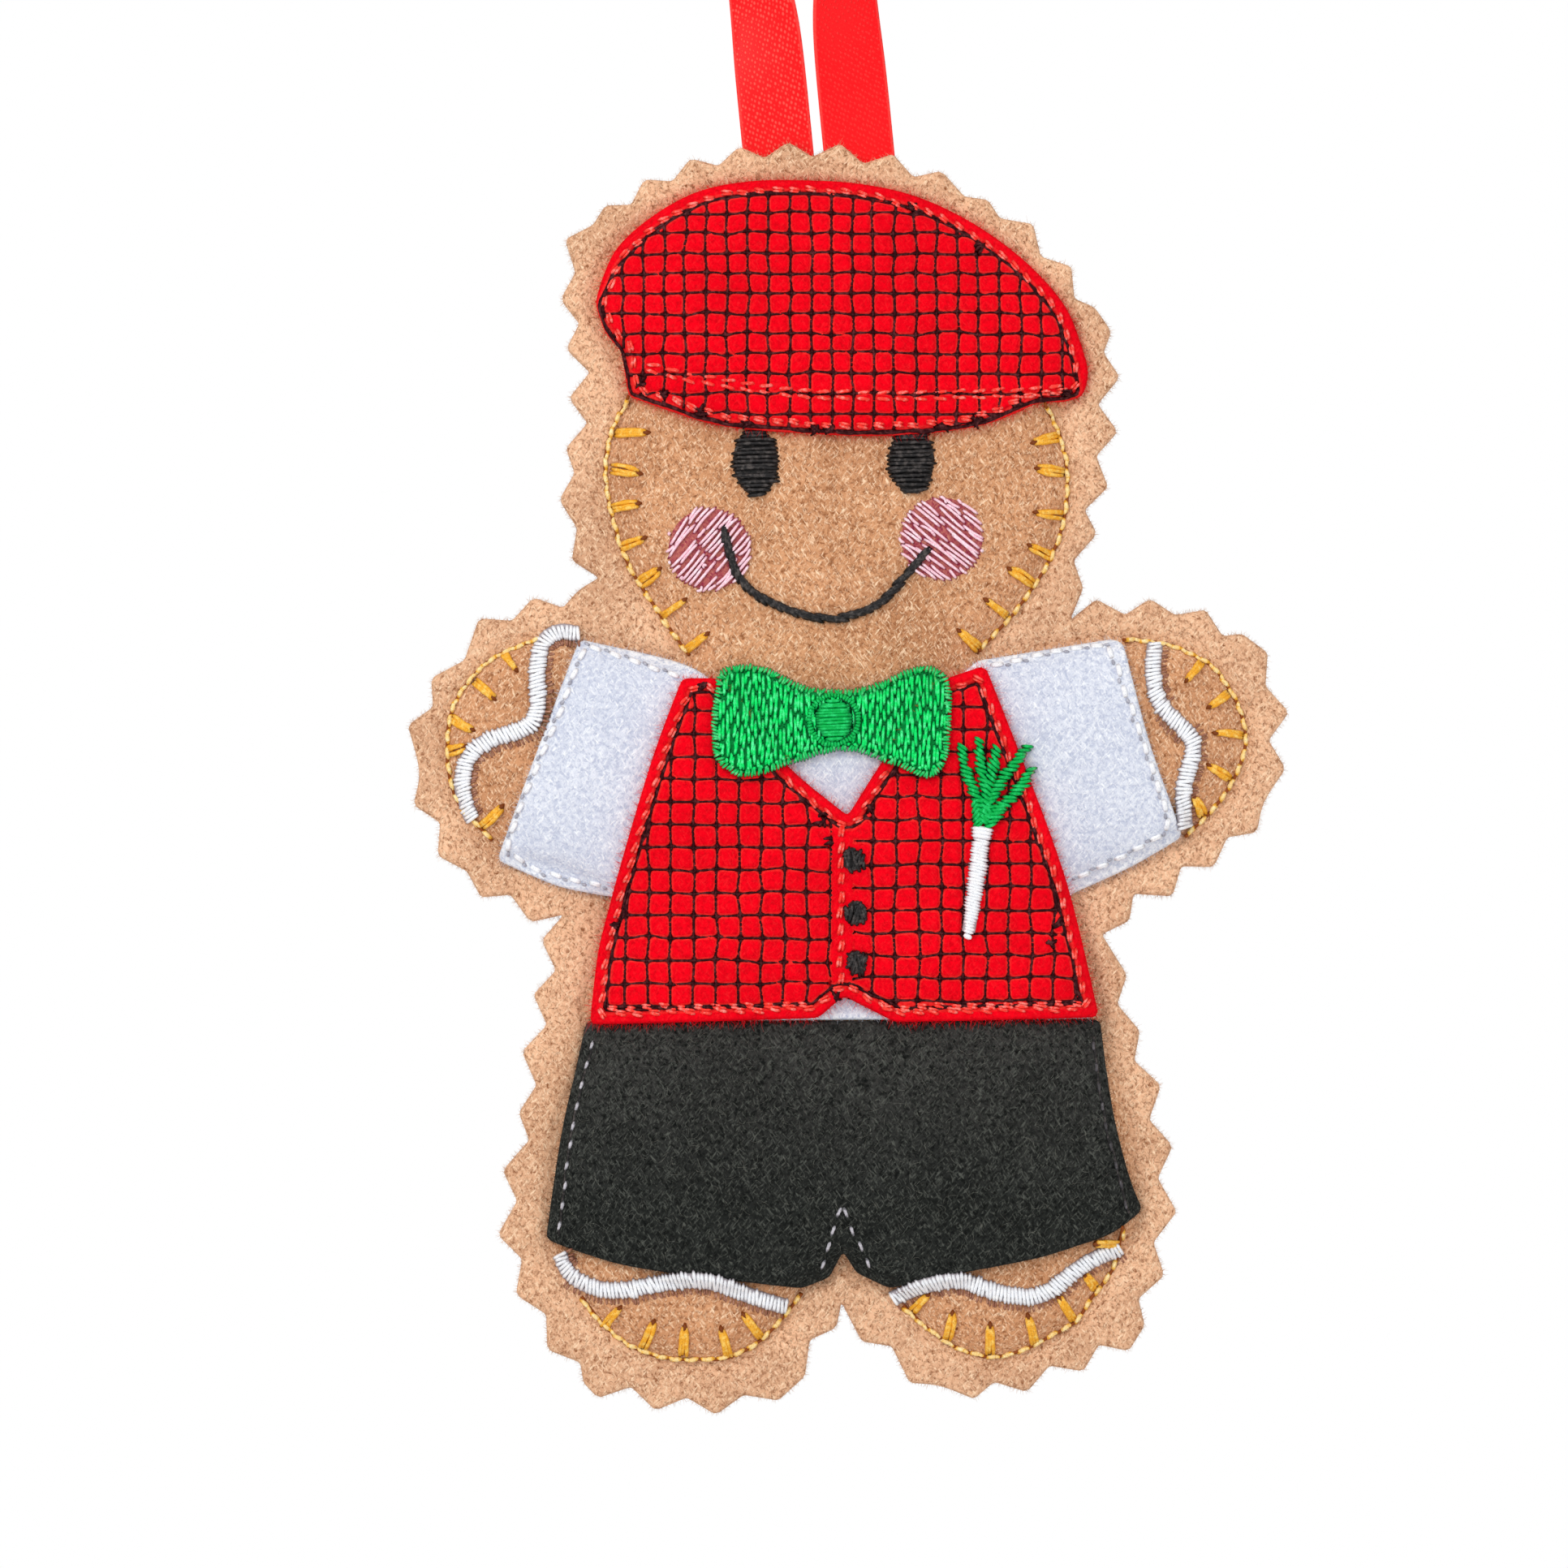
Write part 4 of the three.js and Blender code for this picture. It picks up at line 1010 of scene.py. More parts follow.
def add_fuzz(name, outline, lower, upper, finish, fuzz):
    random = seeded(fuzz.seed)
    edge = resampled(outline, 1 / fuzz.per_mm, closed=True)
    count, out, depth = len(edge), out_of(edge), EDGE_ROUND / 2
    bottom, top = (face(edge - out * EDGE_ROUND) for face in (lower, upper))
    level = random.uniform(0.02, 0.98, count)
    lean = random.normal(0, FUZZ_LEAN, count)
    way = out * np.cos(lean)[:, None] + right_of(out) * np.sin(lean)[:, None]
    curl = random.normal(0, FUZZ_CURL, count)
    reach = fuzz.length * random.uniform(0.3, 1.0, count) ** 1.5
    rise = random.normal(0, FUZZ_RISE, count) + (level - 0.5)
    run = (depth + reach)[:, None] * FUZZ_RUN_SHARES
    flat = ((edge - out * depth)[:, None] + way[:, None] * run[..., None]
            + right_of(way)[:, None] * (curl[:, None] * run * FUZZ_RUN_SHARES)[..., None])
    height = (bottom + (top - bottom) * level)[:, None] + rise[:, None] * run * FUZZ_RISE_SHARE
    fibres = Threads()
    fibres.add(np.concatenate([flat, height[..., None]], axis=-1), FUZZ_RADII, sides=3)
    return fibres.piece(name, finish)


def add_lint(name, outline, face, finish, lint):
    random = seeded(lint.seed)
    low, high = outline.min(axis=0), outline.max(axis=0)
    count = int((high - low).prod() * lint.per_mm2)
    start = random.uniform(low, high, (count, 2))
    start = start[depth_in(start, outline) > lint.length / 2]
    count, steps = len(start), len(LINT_TAPER_SHARES)
    turn = random.uniform(0, 2 * math.pi, count)
    curl = random.normal(0, LINT_CURL, count)
    reach = lint.length * random.uniform(0.4, 1.0, count)
    share = np.linspace(0, 1, steps)
    moves = heading(turn[:, None] + curl[:, None] * share) * (reach / (steps - 1))[:, None, None]
    flat = start[:, None] + np.cumsum(moves, axis=1) - moves[:, :1]
    flat -= (flat[:, -1:] - flat[:, :1]) / 2
    height = face(flat.reshape(-1, 2)).reshape(count, steps)
    lift = random.uniform(0, LINT_LIFT, count)[:, None] + LINT_ARCH * np.sin(math.pi * share)
    fibres = Threads()
    fibres.add(np.concatenate([flat, (height + lift)[..., None]], axis=-1),
               lint.radius * LINT_TAPER_SHARES, sides=3)
    fibres.piece(name, finish)


def add_panel(name, lower, upper, seed):
    """A panel of the figure, with a paler border outside the outline seam."""
    panel = felt_sheet(name, PANEL_OUTLINE, lower, upper, FELT_SPACING, TAN_FELT)
    fuzz = add_fuzz(name + "_fuzz", PANEL_OUTLINE, lower, upper, TAN_FELT, Fuzz(11, 0.42, seed))
    for piece in (panel, fuzz):
        depth = depth_in(sheet_points(piece), SEAM_OUTLINE)
        mark(piece, "border", np.clip(0.5 - depth / BORDER_SPAN, 0, 1))
    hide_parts(name + "_panel")


def add_figure():
    add_panel("front_felt", inner_front(PANEL_INSIDE), front(PANEL_FACE), 1)
    add_panel("back_felt", back(PANEL_FACE), inner_back(PANEL_INSIDE), 2)
    add_lint("front_felt_lint", PANEL_OUTLINE, front(PANEL_FACE), TAN_LINT, Lint(1.5, 0.8, 0.011, 3))
    outline = front_outline("fibre_stuffing", STUFFING_STEP)
    low, high = STUFFING_LEVELS
    stuffing = felt_sheet("stuffing", outline, inner_back(low), inner_front(high), STUFFING_SPACING,
                          STUFFING, edge=STUFFING_EDGE)
    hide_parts("fibre_stuffing")
    low, high = STABILISER_LEVELS
    stabiliser = felt_sheet("stabiliser", outline, inner_front(low), inner_front(high),
                            STUFFING_SPACING, STABILISER, edge=STABILISER_EDGE, side_rings=1)
    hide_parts("stabiliser_sheet")


# The plaid: crossing threads that press the felt into cells

PILLOW_RISE = 0.55
PILLOW_LIFT = 0.14
PILLOW_SIDE = 0.5
PLAID_RADIUS = 0.185
PLAID_THIN_SHARE = 0.92
PLAID_VARY_SHARE = 0.16
PLAID_TWIST = 0.9
PLAID_THREAD_LIFT = 0.05
PLAID_THREAD_ARCH = 0.1
PLY_SHARE = 0.25
PLAID_STRAY = 0.09
MOST_STRAYS = 2.2
MOST_LINES = 40
PLAID_BORDER = 1.15
CAP_LOW_BORDER = 0.32
BORDER_SLOPE = 0.5
BORDER_PRESS_SHARE = 0.2  # of the rise that is left where the border starts
CROSSING_STEPS = 6
CROSSING_HALF = 0.2
CROSSING_TURN = 0.6
CROSSING_LIFT = 0.12
CROSSING_KNOT = Style(0.13, steps=5)


class Plaid:
    """Crossing lines at even pitches, each a little off its place at every crossing."""

    def __init__(self, start_px, pitch, seed):
        self.start = placed(start_px)
        self.pitch = np.array(pitch)
        wide = 2 * MOST_LINES + 1
        most = MOST_STRAYS * PLAID_STRAY
        self.stray = seeded(seed).normal(0, PLAID_STRAY, (wide, wide, 2)).clip(-most, most)

    def crossing(self, i, j):
        return self.start + np.array([i, j]) * self.pitch + self.stray[i + MOST_LINES, j + MOST_LINES]

    def gaps(self, points):
        """How far points are from the nearest upright and the nearest level line."""
        place = (points - self.start) / self.pitch
        cell = np.floor(place).astype(int)
        stray = blended(self.stray, *(cell + MOST_LINES).T, *(place - cell).T[..., None])
        place = place - stray / self.pitch
        return np.abs(place - np.round(place)) * self.pitch

    def lines(self, outline):
        """The upright lines over an outline's box, and then the level ones, by their crossings."""
        first = np.floor((outline.min(axis=0) - self.start) / self.pitch).astype(int) - 1
        last = np.ceil((outline.max(axis=0) - self.start) / self.pitch).astype(int) + 1
        across, up = (range(a, b + 1) for a, b in zip(first, last))
        return ([np.array([self.crossing(i, j) for j in up]) for i in across],
                [np.array([self.crossing(i, j) for i in across]) for j in up])


def pillow_share(gaps):
    """How high the felt stands between the lines: cells with round corners and steep sides."""
    short = np.clip(PILLOW_SIDE - gaps, 0, None)
    return 1 - (1 - np.clip(1 - lengths(short) / PILLOW_SIDE, 0, 1)) ** 3


class PlaidSurface:
    """The height of a garment's face, pressed in along its plaid and where the border starts."""

    def __init__(self, level, edge, regions):
        self.level = level
        self.edge = edge
        self.regions = regions

    def rise_share(self, points):
        share = np.ones(len(points))
        within = inside(points, self.edge)
        for plaid, region in self.regions:
            here = within & inside(points, region)
            share[here] = pillow_share(plaid.gaps(points[here]))
        slope = np.clip(distance(points, self.edge) / BORDER_SLOPE, 0, 1)
        return share * (BORDER_PRESS_SHARE + (1 - BORDER_PRESS_SHARE) * slope)

    def __call__(self, points):
        sunk = PILLOW_RISE * (1 - self.rise_share(points))
        return front(self.level)(points) + PILLOW_LIFT - sunk


def groove(level, rise=0.0):
    """The height of the bottom of the grooves of a plaid, or of something a little above it."""
    return front(level + PILLOW_LIFT - PILLOW_RISE + rise)


def clipped_runs(line, region, shortest=3):
    """The parts of a line inside a region."""
    within = inside(line, region)
    cuts = np.flatnonzero(within[1:] != within[:-1]) + 1
    runs = zip(np.split(line, cuts), np.split(within, cuts))
    return [run for run, kept in runs if kept[0] and len(run) >= shortest]


def add_plaid(name, node, plaid, region, level, seed):
    """Threads sunk between the cells, with a knot at each crossing."""
    random = seeded(seed)
    base = groove(level)
    threads = Threads()
    knots = []
    for rank, group in enumerate(plaid.lines(region)):
        for crossings in group:
            line = smooth_line(crossings, steps=CROSSING_STEPS)
            wave = np.abs(np.sin(math.pi * np.arange(len(line)) / CROSSING_STEPS))
            for run in clipped_runs(np.column_stack([line, wave]), region):
                height = base(run[:, :2]) + PLAID_THREAD_LIFT + PLAID_THREAD_ARCH * run[:, 2]
                vary = PLAID_THIN_SHARE + PLAID_VARY_SHARE * random.random(len(run))
                threads.add(np.column_stack([run[:, :2], height])[None], PLAID_RADIUS * vary[None],
                            lobe_share=PLY_SHARE, pitch=PLAID_TWIST)
                if rank == 0:
                    knots += [p for p in crossings if inside(p[None], region)[0]]
    knots = np.array(knots)
    turn = random.uniform(-CROSSING_TURN, CROSSING_TURN, len(knots)) + math.pi / 4
    half = heading(turn) * CROSSING_HALF
    threads.stitch(knots - half, knots + half, groove(level, CROSSING_LIFT), CROSSING_KNOT)
    threads.piece(name, PLAID_THREAD, node)


# The clothes


def raised_top(outline, rise, span):
    """An outline with its top moved up, and less and less of that below it."""
    share = np.clip(1 - (outline[:, 1].max() - outline[:, 1]) / span, 0, 1)
    return outline + np.column_stack([np.zeros(len(outline)), share * rise])


def box_px(left, right, top, bottom):
    return placed([[left, bottom], [right, bottom], [right, top], [left, top]])


def clipped_to(outline, box):
    return np.clip(outline, box.min(axis=0), box.max(axis=0))


CAP_OUTLINE = front_outline("cap_felt")
SHIRT_OUTLINE = front_outline("shirt_felt")
SHORTS_OUTLINE = raised_top(front_outline("shorts_felt"), SHORTS_TOP_RISE, SHORTS_TOP_SPAN)
VEST_OUTLINE = front_outline("vest_felt")
CAP_INNER = leaning_inset(CAP_OUTLINE, PLAID_BORDER, CAP_LOW_BORDER)
VEST_INNER = inset(VEST_OUTLINE, PLAID_BORDER)
CAP_PLAID = Plaid([767, 264], (1.768, 1.698), 11)
VEST_PLAIDS = {
    "left": (Plaid([772, 1016], (1.905, 1.905), 12), box_px(600, 1024, 780, 1300)),
    "right": (Plaid([1075, 1037], (1.905, 1.905), 13), box_px(1050, 1500, 780, 1300)),
}
CAP_SURFACE = PlaidSurface(GARMENT_FACE, CAP_INNER, [(CAP_PLAID, CAP_OUTLINE)])
VEST_SURFACE = PlaidSurface(VEST_FACE, VEST_INNER, VEST_PLAIDS.values())


class Garment(NamedTuple):
    """A sheet of felt: its outline, the heights of its underside and face, and how it is made."""

    outline: np.ndarray
    lower: object
    face: object
    spacing: float
    finish: Finish
    fuzz: Fuzz
    rests_on: str


GARMENTS = {
    "cap": Garment(CAP_OUTLINE, front(GARMENT_UNDER), CAP_SURFACE, PLAID_SPACING, RED_FELT,
                   Fuzz(16, 0.75, 21), "front_felt"),
    "shirt": Garment(SHIRT_OUTLINE, front(GARMENT_UNDER), front(GARMENT_FACE), FELT_SPACING,
                     WHITE_FELT, Fuzz(11, 0.45, 22), "front_felt"),
    "shorts": Garment(SHORTS_OUTLINE, front(GARMENT_UNDER), front(GARMENT_FACE), FELT_SPACING,
                      BLACK_FELT, Fuzz(11, 0.45, 23), "front_felt"),
    "vest": Garment(VEST_OUTLINE, front(VEST_UNDER), VEST_SURFACE, PLAID_SPACING, RED_FELT,
                    Fuzz(16, 0.8, 24), "shirt"),
}


def add_garment(name, garment):
    outline, lower, face, spacing, finish, fuzz, rests_on = garment
    piece = felt_sheet(name, outline, lower, face, spacing, finish, edge=GARMENT_EDGE)
    points = sheet_points(piece)
    if isinstance(face, PlaidSurface):
        # press: how far the plaid sinks the felt, from which the red felt paints shade in its grooves
        # and highlights on its cells' rims
        mark(piece, "press", 1 - face.rise_share(points))
    mark(piece, "height", points[:, 1])
    mark(piece, "rim", np.clip(1 - distance(points, outline) / RIM_WIDTH, 0, 1))
    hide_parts(name + "_felt")
    fibres = add_fuzz(name + "_fuzz", outline, lower, face, finish, fuzz)
    mark(fibres, "rim", np.ones(len(fibres.data.vertices)))


def add_clothes():
    for name, garment in GARMENTS.items():
        add_garment(name, garment)
    add_lint("shorts_lint", SHORTS_OUTLINE, front(GARMENT_FACE), PALE_LINT, Lint(0.5, 1.3, 0.009, 26))
    add_plaid("cap_plaid", "cap_plaid_stitching", CAP_PLAID, CAP_INNER, GARMENT_FACE, 31)
    for i, (side, (plaid, box)) in enumerate(VEST_PLAIDS.items()):
        add_plaid(f"vest_plaid_{side}", f"vest_plaid_stitching_{side}", plaid,
                  clipped_to(VEST_INNER, box), VEST_FACE, 32 + i)


add_figure()
add_clothes()


# Thread

GOLD = thread("gold_thread", "gold_thread", (250, 190, 62), (138, 66, 8), (255, 240, 184),
              glint_share=0.55)
GOLD_TICK = thread("gold_tick_thread", "gold_thread", (242, 172, 42), (118, 54, 4), (255, 212, 108))
GREEN = thread("green_thread", "green_thread", (4, 232, 110), (0, 76, 34), (92, 250, 166),
               specular=0.12)
# the bow's pad is darker than its threads: painted shade in the gaps between them
GREEN_GROUND_PAINTED_SHADE = thread("green_ground_painted_shade", "green_thread", (0, 122, 54), (0, 80, 36), (0, 150, 70),
                      specular=0.05)
GREEN_EDGE = thread("green_edge_thread", "green_thread", (16, 196, 96), (4, 84, 40),
                    (104, 226, 148), specular=0.12)
DEEP_GREEN = thread("deep_green_thread", "green_thread", (0, 180, 80), (0, 62, 30), (36, 214, 116),
                    specular=0.12)
GLINTING = thread("glinting_black_thread", "black_thread", (96, 96, 100), (6, 6, 7),
                  (214, 210, 218), glint_share=0.7)
GREY = thread("grey_thread", "black_thread", (40, 38, 40), (5, 5, 6), (104, 100, 104),
              glint_share=0.3)
BLACK = thread("black_thread", "black_thread", (24, 22, 23), (5, 5, 6), (78, 72, 70))
WHITE = thread("white_thread", "white_thread", (246, 248, 252), (166, 158, 164), (255, 255, 255))
# grey stitches that paint shade in the sleeves' needle holes
SHADE = thread("shade_thread", "white_thread", (164, 164, 176), (112, 112, 124), (198, 198, 208))
# short dark stitches that paint the icing's shadow
ICING_SHADOW = thread("icing_shadow_thread", "white_thread", (152, 100, 78), (112, 66, 54), (196, 148, 124))
RED = thread("red_thread", "red_thread", (255, 60, 48), (176, 4, 14), (255, 150, 138))
PINK = thread("pink_thread", "pink_thread", (252, 206, 220), (150, 34, 78), (255, 236, 244))
# the pad under a cheek's threads is darker than they are: painted shade between the threads
BLUSH_PAINTED_SHADE = felt("blush_painted_shade_pad", "pink_thread", (190, 106, 100), (146, 44, 74), (210, 138, 116))
TAN = thread("tan_thread", "tan_thread", (186, 138, 98), (110, 70, 42), (224, 184, 146))

CLOTHES_SLOPE = 0.9  # over which the felt bends up over the edge of the clothes
CORE_RADIUS = 0.26
LINE_STEP = 0.2
ROW_STEP = 0.3
BOUNDARY_RADIUS = 0.16
BOUNDARY_LIFT = 0.1
BOUNDARY_ARCH = 0.1
BOUNDARY_WAVE = 1.7
TANGLE = Style(0.16, 0.3, sink_share=1.6, flatness=2.5)
TANGLE_THREADS = 4
TANGLE_TURN = 0.7
TANGLE_REACH = (0.4, 0.65)
TANGLE_STRAY = 0.1
TANGLE_BOW = 0.12
TANGLE_LIFT = 0.05
SMILE_LIFT = 0.3
CROTCH_LIFT = -0.05
HOLE_SHADE_LIFT = 0.02
UNDER_RADIUS = 0.12
UNDER_SWAY = 0.05


def clothes_field():
    """How far the clothes lift whatever lies on top of everything, with soft steps."""
    field = Field(FIELD_STEP / 2)
    levels = ((CAP_OUTLINE, GARMENT_FACE), (SHIRT_OUTLINE, GARMENT_FACE),
              (SHORTS_OUTLINE, GARMENT_FACE), (VEST_OUTLINE, VEST_FACE))
    rises = [(level - PANEL_FACE) * np.clip(1 + depth_in(field.points, outline) / CLOTHES_SLOPE, 0, 1)
             for outline, level in levels]
    field.values = np.max(rises, axis=0).reshape(field.shape)
    return field


CLOTHES = clothes_field()


def on_top(rise=0.0):
    """The height of whatever is on top, as a function of sheet points."""
    plain = front(PANEL_FACE + rise)
    return lambda points: plain(points) + CLOTHES.at(points)


def circle(centre_px, radius, count=48):
    return placed(centre_px) + radius * heading(np.linspace(0, 2 * math.pi, count, endpoint=False))


# Rows of stitches along a line


class Strand(NamedTuple):
    """One strand of a row: how its stitches are turned and moved aside, and their style."""

    slant_deg: float
    aside: float
    style: Style
    length_share: float = 1.0
    skipped: int = 0  # points of the line that its first stitch leaves out


class Row(NamedTuple):
    length: float
    pitch: float
    stray: float
    strands: tuple


SLANT_STRAY_DEG = 40
GOLD_RADIUS = 0.225
RUNNING = Style(0.17, PLY_SHARE, 0.9, 1.5, 2.5)
EDGING = Style(0.15, PLY_SHARE, 1.6, 1.6, 2.5)
OUTLINING = Style(GOLD_RADIUS, 0.3, 1.3, flatness=1.8)
SMILING = Style(0.23, 0.3, sink_share=1.4, flatness=3)
OUTLINE_ROW = Row(1.35, 1.35, 0.045, (
    Strand(-9, 0, OUTLINING), Strand(11, 0, replace(OUTLINING, radius=GOLD_RADIUS * 0.805), 0.7, 3)))
SMILE_ROW = Row(1.65, 0.7, 0.05, (Strand(15, 0.08, SMILING), Strand(11, -0.1, SMILING)))
EDGE_ROW = Row(1.1, 1.45, 0.07, (
    Strand(14, 0.12, EDGING), Strand(8, -0.12, replace(EDGING, radius=0.13))))
BRIM_ROW = Row(1.35, 1.6, 0.04, (Strand(8, 0.28, RUNNING), Strand(-8, -0.28, RUNNING)))
SLEEVE_ROW = Row(1.2, 1.7, 0.04, (Strand(6, 0.06, RUNNING), Strand(6, -0.06, RUNNING)))
# short grey stitches that paint shade in the needle holes
HOLE_SHADE_ROW = Row(0.42, 1.7, 0.04, (Strand(10, 0, Style(0.15, 0.2, steps=5)),))
SIDE_ROW = Row(0.95, 1.64, 0.04, (Strand(6, 0, replace(RUNNING, radius=0.155)),))
CROTCH_ROW = Row(1.1, 1.5, 0.04, (Strand(6, 0, replace(RUNNING, radius=0.15)),))
SEAM_ROW = Row(1.5, 1.9, 0.04, (Strand(3, 0, Style(0.17, PLY_SHARE)),))


def dashes(line, row, strand, seed, closed=False):
    """Starts and ends of a strand's stitches, each turned a little off the line."""
    random = seeded(seed)
    places = resampled(line[strand.skipped:], row.pitch, closed)
    if closed:
        middle, along = places, along_of(places, closed=True)
    else:
        middle, along = (places[1:] + places[:-1]) / 2, unit(np.diff(places, axis=0))
    middle = middle + right_of(along) * strand.aside + random.normal(0, 1, middle.shape) * row.stray
    turn = strand.slant_deg + random.normal(0, SLANT_STRAY_DEG, len(middle)) * row.stray
    half = turned(along, turn) * row.length * strand.length_share / 2
    return middle - half, middle + half


def stitch_row(threads, line, face, row, seed, closed=False, cover=None):
    """Stitches a row, and leaves out the stitches under a cover."""
    for strand in row.strands:
        starts, ends = dashes(line, row, strand, seed, closed)
        if cover is not None:
            bare = ~inside((starts + ends) / 2, cover)
            starts, ends = starts[bare], ends[bare]
        threads.stitch(starts, ends, face, strand.style)


def add_row(name, node, line, face, finish, row, seed):
    threads = Threads()
    stitch_row(threads, line, face, row, seed)
    threads.piece(name, finish, node)


def add_edging(garment, row, face, seed, rows_px=(), cover=None):
    """Bright dashes in pairs just inside a garment's edge, and along any open rows."""
    threads = Threads()
    stitch_row(threads, row, face, EDGE_ROW, seed, closed=True, cover=cover)
    for row_px in rows_px:
        stitch_row(threads, resampled(placed(row_px), ROW_STEP), face, EDGE_ROW, seed, cover=cover)
    threads.piece(garment + "_edge_stitches", RED, garment + "_edge_stitching")


SLEEVES_PX = {
    "left": [[[842, 836], [800, 822], [749, 804]], [[722, 795], [697, 861], [658, 954]],
             [[621, 1047], [663, 1072], [715, 1086]], [[746, 1091]]],
    "right": [[[1216, 823], [1300, 803]], [[1366, 793], [1380, 838], [1399, 890], [1416, 940]],
              [[1443, 1022], [1385, 1054]], [[1324, 1084]]],
}
SHORTS_PX = {
    "left": [[733, 1277], [706, 1388], [688, 1522]],
    "right": [[1346, 1277], [1360, 1377], [1390, 1495]],
}
SHORTS_THREADS = {"left": GLINTING, "right": GREY}
CROTCH_PX = [[1011, 1569], [1036, 1481], [1074, 1566]]
CAP_BRIM_PX = [[792, 453], [879, 472], [1012, 488], [1191, 488], [1312, 481]]
SMILE_PX = [[892, 655], [915, 718], [961, 748], [1027, 763], [1081, 745], [1124, 700], [1140, 680]]
VEST_ROWS_PX = [[[1036, 1013], [1036, 1214]], [[745, 1241], [1000, 1236]],
                [[1082, 1240], [1335, 1235]]]
VEST_MIDDLE_PX = [[[1025, 1010], [1026, 1222]], [[1049, 1024], [1050, 1226]],
                  [[1038, 1040], [1048, 1140], [1046, 1230]]]
CAP_EDGING_INSETS = (0.95, 0.85)
VEST_EDGING_INSET = 0.92
CAP_BOUNDARY_INSETS = ((1.32, 0.34), (1.2, 0.24))
VEST_BOUNDARY_INSETS = (1.32, 1.2)
CAP_TANGLES_PX = [[789, 470], [816, 487], [864, 508], [920, 524], [1004, 531], [1022, 531],
                  [1160, 527], [1201, 520], [1253, 498], [1316, 485], [1122, 253], [1206, 305]]
VEST_TANGLES_PX = [[1021, 1036], [1070, 994], [1030, 1224], [757, 1140], [1301, 1136], [1292, 1160],
                   [866, 845], [1012, 1012]]


def wavy(line, seed, sway=0.07, wave=1.3):
    """A line that wanders a little from side to side."""
    sways = seeded(seed).normal(0, sway, len(resampled(line, wave)))
    sways[-1] = sways[0]
    offset = np.interp(np.linspace(0, len(sways) - 1, len(line)), np.arange(len(sways)), sways)
    return line + right_of(along_of(line)) * offset[:, None]


def add_sleeve(side, i):
    """White stitches along a sleeve, with short grey stitches between them that paint the shade in their
    needle holes.
    """
    line = stretched_line(SLEEVES_PX[side], ROW_STEP)
    add_row(f"sleeve_stitches_{side}", f"sleeve_stitching_{side}", line, front(GARMENT_FACE), WHITE,
            SLEEVE_ROW, 130 + i)
    strand = HOLE_SHADE_ROW.strands[0]
    starts, ends = dashes(line, HOLE_SHADE_ROW, strand, 200 + i)
    offset = unit(ends - starts) * HOLE_SHADE_ROW.pitch / 2
    threads = Threads()
    threads.stitch(starts + offset, ends + offset, front(GARMENT_FACE + HOLE_SHADE_LIFT), strand.style)
    threads.piece(f"sleeve_hole_shade_{side}", SHADE)


def add_shorts_side(side, i):
    """Stitches over a lower thread, which shows between them."""
    line = drawn(SHORTS_PX[side], ROW_STEP)
    add_row(f"shorts_side_stitches_{side}", f"shorts_side_stitching_{side}", line,
            front(GARMENT_FACE), SHORTS_THREADS[side], SIDE_ROW, 140 + i)
    threads = Threads()
    threads.lay(wavy(line, 210 + i, UNDER_SWAY), front(GARMENT_FACE), UNDER_RADIUS,
                lobe_share=PLY_SHARE)
    threads.piece(f"shorts_under_{side}", BLACK)


def add_boundary(name, rows, level, seed, open_rows_px=()):
    """The plaid's thread where it runs along the edge between its lines."""
    rows = [resampled(row, ROW_STEP, closed=True) for row in rows]
    rows = [wavy(np.vstack([row, row[:1]]), seed + i) for i, row in enumerate(rows)]
    rows += [wavy(resampled(placed(row_px), ROW_STEP), seed + 5 + i)
             for i, row_px in enumerate(open_rows_px)]
    threads = Threads()
    for row in rows:
        wave = np.abs(np.sin(np.arange(len(row)) * ROW_STEP * BOUNDARY_WAVE))
        height = groove(level, BOUNDARY_LIFT)(row) + BOUNDARY_ARCH * wave
        place = np.column_stack([row, height])
        threads.add(place[None], BOUNDARY_RADIUS, lobe_share=PLY_SHARE)
    threads.piece(name, PLAID_THREAD)


def add_tangles(name, places_px, face, seed):
    """Tangles of black thread on the plaid's boundary."""
    random = seeded(seed)
    threads = Threads()
    for place in placed(places_px):
        for _ in range(TANGLE_THREADS):
            half = heading(random.normal(0, TANGLE_TURN)) * random.uniform(*TANGLE_REACH)
            middle = place + random.normal(0, TANGLE_STRAY, 2)
            bow = random.normal(0, TANGLE_BOW)
            threads.stitch([middle - half], [middle + half], face, TANGLE, bow)
    threads.piece(name, PLAID_THREAD)


def add_seam():
    """The bobbin thread of the outline seam, on the back."""
    face = back(PANEL_FACE)
    strand = SEAM_ROW.strands[0]
    starts, ends = dashes(SEAM_OUTLINE, SEAM_ROW, strand, 81, closed=True)
    lines, radii, tips = stitch_lines(starts, ends, lambda points: -face(points), strand.style)
    threads = Threads()
    threads.add(lines * (1, 1, -1), radii, tips, lobe_share=PLY_SHARE)
    threads.piece("bobbin_seam", TAN, "seam_bobbin_thread")


